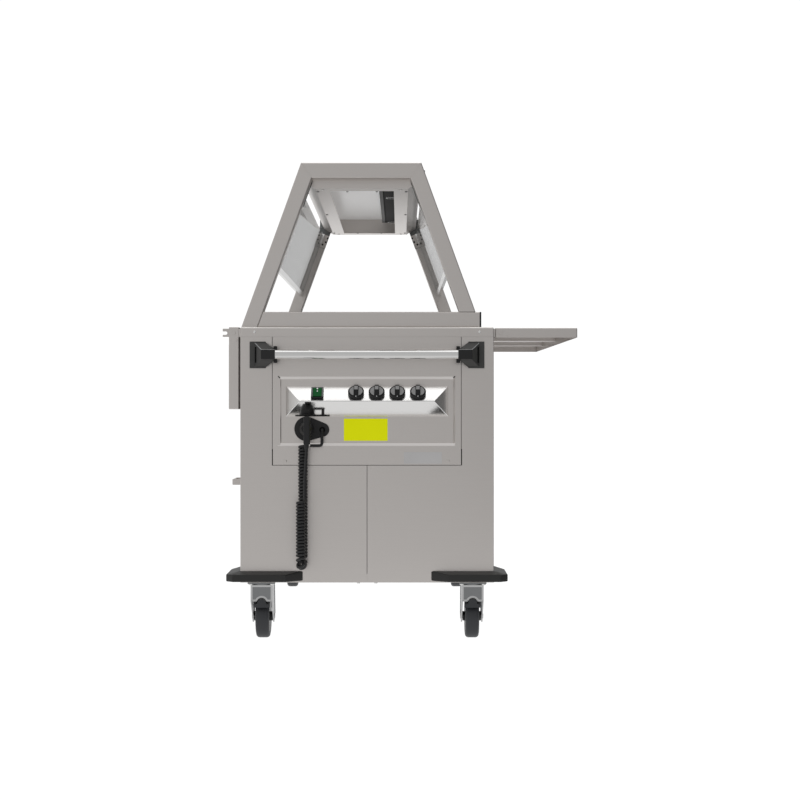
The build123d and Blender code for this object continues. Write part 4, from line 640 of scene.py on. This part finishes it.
def makeWheel(shape):
    tyre = paint(turned("tyre", shape["tyre"], 72, ring=True), "tyre")
    rim = paint(turned("rim", shape["rim"], 72), "lightGreyAndHighlight")
    hub = paint(turned("hub", shape["hub"], 40), "black")
    return joined("wheel", [tyre, rim, hub])


# Forks: their front and back walls are pressed in within a rim, and the rest of each fork is painted a
# lighter zinc as a highlight
forkShape = {"low": 0.11, "high": 0.175, "rim": 0.0055, "step": 0.001, "bend": 0.0009}


def forkWall(centre, normal):
    return abs(normal.y) > 0.95 and forkShape["low"] < centre.z < forkShape["high"]


wheelModel = makeWheel(wheelShape)
for place, (x, y) in wheelShape["centres"].items():
    corner = place.title().replace("_", "")
    centre = (x, y, wheelShape["radius"])
    wheel = twin(wheelModel, axisMatrix(centre, (1, 0, 0), (0, 1, 0)))
    mount(wheel, "wheel_" + place, ["wheel_" + place])
    fork = cladding("fork" + corner, "fork_" + place, "zincPaintedHighlight", "caster_" + place, 0)
    choose(fork, "FACE", forkWall)
    bpy.ops.mesh.inset(thickness=forkShape["rim"], depth=-forkShape["step"])
    closeEdit()
    # The pressed-in walls keep the darker zinc, the rest is the lighter zinc as painted highlight
    fork.data.materials.append(finishes["zinc"])
    for face in fork.data.polygons:
        if face.select:
            face.material_index = 1
    soften(fork, forkShape["bend"])
    if place.startswith("near"):
        cladding("brake" + corner, "brake_" + place, "tyre", "brake_" + place, 0.0018, 3)
bpy.data.objects.remove(wheelModel)
print("casters made")

# Mouldings and thick parts whose edges show
for name, node, finish, slot, width in (
    ("cornerBumpers", "corner_bumpers", "bumper", "bumper_grey", 0.0025),
    ("plugHolder", "plug_holder", "black", "black_plastic", 0.001),
    ("canopyBlocks", "canopy_blocks", "grey", "black_plastic", 0.0015),
    ("railEndPlugs", "rail_end_plugs", "black", "black_plastic", 0.0008),
    ("lampBatten", "lamp", "lamp", "black_plastic", 0.0012),
    ("lampGland", "lamp_gland", "black", "black_plastic", 0.001),
    ("switchBezel", "switch_bezel", "grey", "grey_plastic", 0.0008),
    ("trayHooks", "tray_hooks", "steelX", "steel_bright", 0.0006),
    ("casterPlates", "caster_plates", "zinc", "zinc", 0.0008),
    ("cordGland", "cord_gland", "black", "black_plastic", 0.0008),
):
    cladding(name, node, finish, width=width)
worktop = cladding("worktopSheet", "worktop", "steelY", width=0)
# The worktop's rounded front bend takes the lighter steel as a painted highlight
repaint(worktop, "bend", lambda centre, normal: 0.2 < normal.z < 0.98 and abs(normal.y) > 0.15)
cover = cladding("controlCover", "control_cover", "steelX", width=0)
# The recess's upper and lower walls take the lighter steel as painted light
repaint(cover, "bend", lambda centre, normal: abs(normal.z) > 0.5 and normal.y < -0.3)
# The bail hangs close to the wall behind the plug's grip
bailShape = {"behind": -0.8, "shift": (0, 0.038, 0)}
moved(bpy.data.objects["plugHolder"], lambda place: place.y < bailShape["behind"], bailShape["shift"])

# Console: a rounded ridge, and mitred edges below the hips painted white as highlights
consoleShape = {
    "ridge": -0.8215,
    "middle": 0.6872,
    "ridgeBend": 0.003,
    "mitreBend": 0.0009,
    "edgeBend": 0.0003,
}


def ridgeLine(first, last):
    return max(first.y, last.y) < consoleShape["ridge"] and abs(first.x - last.x) > 0.1


def lowerMitre(first, last):
    across, deep = abs(first.x - last.x), abs(first.z - last.z)
    return min(across, deep) > 0.01 and max(first.z, last.z) < consoleShape["middle"] + 0.001


console = cladding("controlConsole", "console", "mirror", width=0)
choose(console, "EDGE", ridgeLine)
bpy.ops.mesh.bevel(offset=consoleShape["ridgeBend"], segments=3, affect="EDGES")
closeEdit()
choose(console, "EDGE", lowerMitre)
bpy.ops.mesh.bevel(offset=consoleShape["mitreBend"], segments=1, affect="EDGES")
closeEdit()
soften(console, consoleShape["edgeBend"])
repaint(console, "console", lambda centre, normal: abs(normal.x) > 0.6 or normal.z > 0.4)
# The mitre bevels below the hips are painted white as highlights
repaint(console, "printAndPaintedLight", lambda centre, normal: 0.2 < abs(normal.x) < 0.6 and -0.6 < normal.z < -0.2)
bezel = bpy.data.objects["switchBezel"]
# The bezel's down-facing faces are painted near black as shade
repaint(bezel, "paintedShade", lambda centre, normal: normal.z < -0.4 and normal.y < -0.4)
cladding("switchRocker", "switch_rocker", "green", "switch_rocker", 0.0006)

# Guard frames: the rails are welded to the legs, so their ends are drawn into them
guardShape = {
    "middle": -0.11175, "level": 0.9, "legInner": 0.2981, "lean": 0.36316,
    "weld": 0.00035, "nearest": 0.0001, "farthest": 0.001,
}


def railEnd(place, side):
    inner = guardShape["legInner"] - guardShape["lean"] * (place.z - guardShape["level"])
    short = inner - side * (place.x - guardShape["middle"])
    return guardShape["nearest"] < short < guardShape["farthest"]


for end in ("near", "far"):
    guard = cladding("guardFrame" + end.title(), "guard_frame_" + end, "steelX", width=0)
    for side in (-1, 1):
        moved(guard, lambda place: railEnd(place, side), (side * guardShape["weld"], 0, 0))
print("mouldings rounded")

# Push bar brackets: a stepped plate, a pyramid that leans inwards and a head that holds the bar
bracketShape = {
    "bodyHalf": 0.36275,
    "centre": -0.09435,
    "wall": 0.785,
    "level": 0.82,
    "plate": (0.027, 0.073, 0.038, 0.007),
    "slitShadow": (0.0428, 0.0468, 0.0225, 0.0152),
    "foot": (0.0395, 0.0728, 0.0365, 0.034),
    "head": (0.0638, 0.1038, 0.014, 0.041, 0.07),
    "ears": (0.098, 0.1085, 0.0125, 0.0238, 0.034, 0.045),
    "bends": {"plate": 0.0012, "foot": 0.0011, "head": 0.0016, "ear": 0.001},
}


def bracketBlock(name, shape, inner, outer, half, near, far, level=None):
    middle = shape["level"] if level is None else level
    return block(
        name,
        (inner - shape["bodyHalf"], -shape["wall"] - far, middle - half),
        (outer - shape["bodyHalf"], -shape["wall"] - near, middle + half),
    )


def makeBracket(shape):
    # The near left one, drawn about the middle of the body
    inner, outer, half, depth = shape["plate"]
    bends = shape["bends"]
    plate = soften(bracketBlock("bracketPlate", shape, inner, outer, half, 0, depth), bends["plate"])
    # A near-black block in the step between plate and foot, as painted shadow
    start, stop, rise, top = shape["slitShadow"]
    slitShadow = paint(bracketBlock("bracketSlitShadow", shape, start, stop, rise, depth, top), "paintedShade")
    left, right, tall, reach = shape["foot"]
    headLeft, headRight, headHalf, headBack, headFront = shape["head"]
    foot = bracketBlock("bracketFoot", shape, left, right, tall, depth / 2, headBack)
    edge = -shape["wall"] - headBack + 0.001
    middle = (left + right) / 2 - shape["bodyHalf"]
    for shift, test in (
        ((headRight - right, 0, 0), lambda place: place.y < edge and place.x > middle),
        ((headLeft - left, 0, 0), lambda place: place.y < edge and place.x < middle),
        ((0, 0, headHalf - tall), lambda place: place.y < edge and place.z > shape["level"]),
        ((0, 0, tall - headHalf), lambda place: place.y < edge and place.z < shape["level"]),
    ):
        moved(foot, test, shift)
    head = bracketBlock("bracketHead", shape, headLeft, headRight, headHalf, headBack, headFront)
    soften(foot, bends["foot"])
    soften(head, bends["head"], 3)
    parts = [plate, foot, head]
    start, stop, low, high, near, far = shape["ears"]
    for side in (-1, 1):
        level = shape["level"] + side * (low + high) / 2
        ear = bracketBlock("bracketEar", shape, start, stop, (high - low) / 2, near, far, level)
        parts.append(soften(ear, bends["ear"]))
    for part in parts:
        paint(part, "black")
    # Painted light on the black plastic: the plate and the foot's facets are lighter as painted sheen, and
    # the foot's upper left edge and the head's upper front edge are painted highlights
    paint(plate, "paintedSheenBlack")
    repaint(foot, "paintedSheenBlack", lambda centre, normal: abs(normal.z) > 0.3)
    repaint(foot, "paintedSheenBlack", lambda centre, normal: normal.x < -0.3 and abs(normal.z) < 0.3)
    repaint(foot, "lightGreyAndHighlight", lambda centre, normal: min(normal.z, -normal.x, -normal.y) > 0.25)
    repaint(head, "silverAndHighlight", lambda centre, normal: normal.z > 0.35 and normal.y < -0.35)
    return joined("barBracket", [*parts, slitShadow])


bracketModel = makeBracket(bracketShape)
brackets = []
for across in (1, -1):
    for along in (1, -1):
        brackets.append(mirrored(bracketModel, across, along, bracketShape["centre"]))
bpy.data.objects.remove(bracketModel)
mount(joined("barBrackets", brackets), replaced=["bar_brackets"])
print("brackets made")

# Index plates: a dark base on each guard leg with two pale halves on it and a row of notches painted near
# black as shade
indexShape = {
    "axis": (0.18385, 1.3075),
    "lean": 0.3484,
    "wall": 0.71,
    "base": ((-0.0335, -0.047), (0.0102, 0.044), 0.0013),
    "halves": (((-0.0325, -0.046), (-0.0035, 0.004)), ((-0.001, -0.046), (0.0096, 0.001))),
    "corner": 0.016,
    "halfRise": 0.0012,
    "halfBend": 0.0004,
    "shadedNotches": (
        (-0.0305, -0.0055), (-0.0285, -0.0215), (-0.0205, -0.034), (-0.0085, -0.0395),
    ),
    "notchRadius": 0.0034,
    "notchRise": 0.0004,
    "pins": ((0.0054, 0.0269), (-0.0025, 0.0062)),
    "pinStations": ((0, 0.0042), (0.0015, 0.0042), (0.0022, 0.002)),
}


def makeIndexPlate(shape):
    # Drawn flat with its back on the level plane, then stood up against the inner face of the frame
    (left, low), (right, high), thick = shape["base"]
    base = block("indexBase", (left, low, 0), (right, high, thick))

    def topCorner(first, last):
        return min(first.y, last.y) > high - 0.001 and abs(first.x - last.x) < 0.001

    choose(base, "EDGE", topCorner)
    bpy.ops.mesh.bevel(offset=shape["corner"], segments=4, affect="EDGES")
    closeEdit()
    parts = [paint(base, "grey")]
    for first, last in shape["halves"]:
        half = block("indexHalf", (*first, thick / 2), (*last, thick + shape["halfRise"]))
        parts.append(paint(soften(half, shape["halfBend"], 1), "steelX"))
    top = thick + shape["halfRise"]
    # Each notch is a near-black disc as painted shade
    for place in shape["shadedNotches"]:
        rise, radius = shape["notchRise"], shape["notchRadius"]
        notchShade = turned("indexNotchShade", [(0, radius), (rise, radius)], 16)
        parts.append(paint(settle(notchShade, Matrix.Translation((*place, top - rise / 2))), "paintedShade"))
    for place in shape["pins"]:
        pin = turned("indexPin", shape["pinStations"], 20)
        parts.append(paint(settle(pin, Matrix.Translation((*place, thick / 2))), "lightGreyAndHighlight"))
    plate = joined("indexPlate", parts)
    seat = axisMatrix((shape["axis"][0], shape["wall"], shape["axis"][1]), (0, -1, 0))
    return settle(plate, seat @ Matrix.Rotation(shape["lean"], 4, "Z"))


indexModel = makeIndexPlate(indexShape)
indexPlates = []
for across in (1, -1):
    for along in (1, -1):
        indexPlates.append(mirrored(indexModel, across, along, guardShape["middle"]))
bpy.data.objects.remove(indexModel)
mount(joined("indexPlates", indexPlates), replaced=["index_plates"])
print("index plates made")

# Small round parts: canopy screws, two white rings on the lamp as painted highlights with a lighter strip
# and a near-black strip along the lamp as painted sheen and shade, and a near-black disc in the eye beside
# the plug as painted shade
screwShape = {
    "stations": [(0, 0.0042), (0.0012, 0.004), (0.0019, 0.0024)],
    "level": 1.305,
    "across": (-0.13, -0.0435, 0.0435, 0.13),
    "along": 0.638,
    "plainHeads": (1.295, 1.3065),
    "coverBelow": 0.56,
}
fasteners = cladding("smallFasteners", "fasteners", "mirrorY", width=0)
low, high = screwShape["plainHeads"]
choose(fasteners, "VERT", lambda place: abs(place.y) < 0.66 and low < place.z < high)
bpy.ops.mesh.delete(type="VERT")
closeEdit()
low = screwShape["coverBelow"]
repaint(fasteners, "steelX", lambda centre, normal: centre.z < low and abs(centre.y) > 0.784)

screws = []
for x in screwShape["across"]:
    for y in (-screwShape["along"], 0, screwShape["along"]):
        if y or abs(x) > 0.1:
            screw = paint(turned("canopyScrew", screwShape["stations"], 16), "grey")
            seat = axisMatrix((guardShape["middle"] + x, y, screwShape["level"]), (0, 0, -1))
            screws.append(settle(screw, seat))
mount(joined("canopyScrews", screws))

ringShape = {
    "outer": 0.021, "inner": 0.0192, "drop": 0.0004, "x": -0.024, "level": 1.34, "along": (-0.17, 0.6),
    "edges": (
        ((-0.0648, -0.605, 1.3393), (-0.054, 0.605, 1.34), "paintedSheenBlack"),
        ((-0.054, -0.6, 1.339), (-0.0495, 0.6, 1.34), "paintedShade"),
    ),
}
lampPaintedMarks = []
# Two white rings under the lamp as painted highlights
for y in ringShape["along"]:
    outer, inner, drop = ringShape["outer"], ringShape["inner"], ringShape["drop"]
    stations = [(0, inner), (0, outer), (drop, outer), (drop, inner), (0, inner)]
    ring = paint(turned("lampHighlightRing", stations, 40, ring=True), "printAndPaintedLight")
    lampPaintedMarks.append(settle(ring, axisMatrix((ringShape["x"], y, ringShape["level"]), (0, 0, -1))))
# Along the lamp, a lighter strip as painted sheen and a near-black strip as painted shade in its slot
for low, high, finish in ringShape["edges"]:
    lampPaintedMarks.append(paint(block("lampEdgeLightAndShade", low, high), finish))
mount(joined("lampLightAndShade", lampPaintedMarks))

eyeShape = {"centre": (-0.2226, -0.784, 0.6057), "radius": 0.0085, "rise": 0.0006}
# A near-black disc as painted shade in the holder's eye
holderEyeShade = turned("holderEyeShade", [(0, eyeShape["radius"]), (eyeShape["rise"], eyeShape["radius"])], 28)
settle(holderEyeShade, axisMatrix(eyeShape["centre"], (0, -1, 0)))
mount(paint(holderEyeShade, "paintedShade"))
print("small round parts made")

# Plates: a plain yellow one in the recess, which glows as painted light, and a plain silver one below it
plateShapes = {
    "yellowPlate": {"low": (-0.161, -0.7798, 0.574), "high": (-0.0355, -0.779, 0.6375), "finish": "yellow"},
    "silverPlate": {"low": (0.011, -0.7857, 0.5087), "high": (0.12, -0.785, 0.542), "finish": "silverAndHighlight"},
}
plateBend = 0.0003
for name, shape in plateShapes.items():
    plate = block(name, shape["low"], shape["high"])
    modify(plate, "BEVEL", width=plateBend, segments=1, limit_method="ANGLE")
    mount(paint(plate, shape["finish"]))

# Rocker: two round marks on it, and a near-black band at the bezel's lower edge as painted shade
markShape = {
    "x": -0.23585,
    "tilt": 0.345,
    "places": ((0.0121, 0.009, 0.0021), (0.0045, 0.0062, 0.0018)),
    "thickness": 0.0004,
}
rockerMarks = []
for rise, lift, radius in markShape["places"]:
    printAndPaintedLight = paint(turned("rockerMark", [(0, radius), (markShape["thickness"], radius)], 20), "printAndPaintedLight")
    seat = Matrix.Translation((0, rise, 0)) @ Matrix.Rotation(markShape["tilt"], 4, "X")
    rockerMarks.append(settle(printAndPaintedLight, onFace(markShape["x"], lift) @ seat))
mount(joined("rockerMarks", rockerMarks), "switch_rocker")
# A near-black band below the bezel as painted shade
bezelShadeShape = {"low": (-0.0178, -0.0218, 0.006), "high": (0.0178, -0.0172, 0.0063), "bend": 0.0001}
bezelShadeBand = soften(block("bezelShadeBand", bezelShadeShape["low"], bezelShadeShape["high"]), bezelShadeShape["bend"], 1)
mount(settle(paint(bezelShadeBand, "paintedShade"), onFace(markShape["x"])))

# Recess: sloping bands above and below that glow as painted light, a flush strip on the left, and corner
# notches and side gaps painted near black as shade
recessShape = {
    "front": -0.7856, "floor": -0.779, "slope": 0.001,
    "top": (-0.3436, 0.1532, 0.7506, 0.758),
    "bottom": (-0.3493, 0.1575, 0.5598, 0.5676),
    "strip": (-0.3488, -0.3424, 0.5604, 0.7574),
    "stripStep": 0.0002,
    "shadedNotches": ((-0.3464, 45), (0.1552, -45)),
    "notchHalf": (0.0038, 0.0005, 0.0014),
    "notchLevel": 0.7565,
    "gapShades": ((-0.3666, -0.364), (0.175, 0.1776)),
    "gapHeights": (0.5045, 0.5507),
    "gapDepth": 0.001,
}


def recessBand(name, span, movedEdge):
    left, right, low, high = span
    band = block(name, (left, recessShape["front"], low), (right, recessShape["floor"], high))
    edge = low if movedEdge == "low" else high

    def frontEdge(place):
        return place.y < recessShape["front"] + 0.001 and abs(place.z - edge) < 0.001

    moved(band, frontEdge, (0, recessShape["slope"], 0))
    # Each band glows as painted light
    return paint(band, "paintedLight")


left, right, low, high = recessShape["strip"]
stripFront = recessShape["front"] + recessShape["stripStep"]
strip = paint(block("recessStrip", (left, stripFront, low), (right, recessShape["floor"], high)), "steelX")
topBand = recessBand("recessTop", recessShape["top"], "low")
bottomBand = recessBand("recessBottom", recessShape["bottom"], "high")
mount(joined("recessBands", [strip, topBand, bottomBand]))

gapShades = []
front, level = recessShape["front"], recessShape["notchLevel"]
for x, tilt in recessShape["shadedNotches"]:
    half = Vector(recessShape["notchHalf"])
    notchShade = block("recessNotchShade", -half, half)
    turn = Matrix.Rotation(math.radians(tilt), 4, "Y")
    gapShades.append(settle(notchShade, Matrix.Translation((x, front, level)) @ turn))
for left, right in recessShape["gapShades"]:
    low, high = recessShape["gapHeights"]
    gapShades.append(block("coverGapShade", (left, front, low), (right, front + recessShape["gapDepth"], high)))
# The corner notches and side gaps are painted near black as shade
for gap in gapShades:
    paint(gap, "paintedShade")
mount(joined("coverShadeLines", gapShades))
print("plates and marks made")

# Every CAD part that still shows takes its finish
nodeFinishes = {
    "steelX": ["end_sheets_near", "end_panel_far"],
    "steelY": [
        "side_panel_right", "side_frame_left", "tray_left", "tray_right", "canopy",
        "cupboard_deck", "base_pan", "door_near", "door_far",
    ],
    "steelZ": ["inner_frame", "wells"],
    "mirrorX": ["push_bars"],
    "mirrorY": [
        "door_hinges", "glass_fittings_left", "glass_fittings_right",
        "heaters", "drain_lever",
    ],
    "zinc": ["thermostats"],
    "white": ["reflector"],
    "brass": ["drain_pipe"],
    "grey": ["terminal_box"],
    "glass": ["glass_left", "glass_right"],
}
for finish, members in nodeFinishes.items():
    for member in members:
        nodes[member].data.materials.clear()
        nodes[member].data.materials.append(finishes[finish])
print("finishes laid on the CAD parts")

# Studio: a pale floor, a soft box overhead and a sky that is palest ahead, both dim to the right
studio = {
    "floorSize": 60, "boxPlace": (-0.1, 0, 4.2), "boxWidth": 2.2, "boxLength": 3.2, "boxPower": 20,
    "floorGlow": 0.5, "floorGlows": (("Y", -2.2, -1.2, 0.67), ("Y", 1, 5, 0.85), ("X", 0.6, 1.5, 0.07)),
    "skyGlow": 0.5, "skyUp": 0.1, "skyAhead": 0.18, "skyRight": -0.41, "skySeen": 1.05,
}
bpy.ops.mesh.primitive_plane_add(size=studio["floorSize"])
floor = bpy.context.active_object
floor.name = "studioFloor"
floorFinish = Finish(bpy.data.materials.new("paleFloor"))
floorGrain = floorFinish.noise((3, 3, 3))
floorSeen = floorFinish.node("ShaderNodeLightPath", "Is Camera Ray")
floorGlow = (studio["floorGlow"],) * 3
for axis, start, stop, glow in studio["floorGlows"]:
    along = floorFinish.node("ShaderNodeSeparateXYZ", axis, sockets={"Vector": floorFinish.place})
    reach = {"Value": along, "From Min": start, "From Max": stop}
    share = floorFinish.node("ShaderNodeMapRange", sockets=reach)
    floorGlow = floorFinish.between(share, floorGlow, (glow, glow, glow))
floor.data.materials.append(
    floorFinish.surface(
        Base_Color=floorFinish.between(floorGrain, (0.04, 0.04, 0.04), (0.06, 0.06, 0.06)),
        Roughness=0.9,
        Emission_Color=floorFinish.between(floorSeen, floorGlow, (1, 1, 1)),
        Emission_Strength=1.0,
    )
)

bpy.ops.object.light_add(type="AREA", location=studio["boxPlace"])
softBox = bpy.context.active_object
softBox.data.shape = "RECTANGLE"
softBox.data.size = studio["boxWidth"]
softBox.data.size_y = studio["boxLength"]
softBox.data.energy = studio["boxPower"]

sky = Finish(bpy.data.worlds.new("studioSky"), "Generated")
bpy.context.scene.world = sky.owner
glow = studio["skyGlow"]
for axis, share in (("Z", studio["skyUp"]), ("Y", studio["skyAhead"]), ("X", studio["skyRight"])):
    toward = sky.node("ShaderNodeSeparateXYZ", axis, sockets={"Vector": sky.place}).sum("MAXIMUM", 0.0)
    glow = toward * toward * share + glow
seen = sky.node("ShaderNodeLightPath", "Is Camera Ray")
strength = glow + seen * (studio["skySeen"] - glow)
backdrop = sky.node("ShaderNodeBackground", sockets={"Color": (1, 1, 1, 1), "Strength": strength})
sky.node("ShaderNodeOutputWorld", sockets={"Surface": backdrop})
print("studio lit")
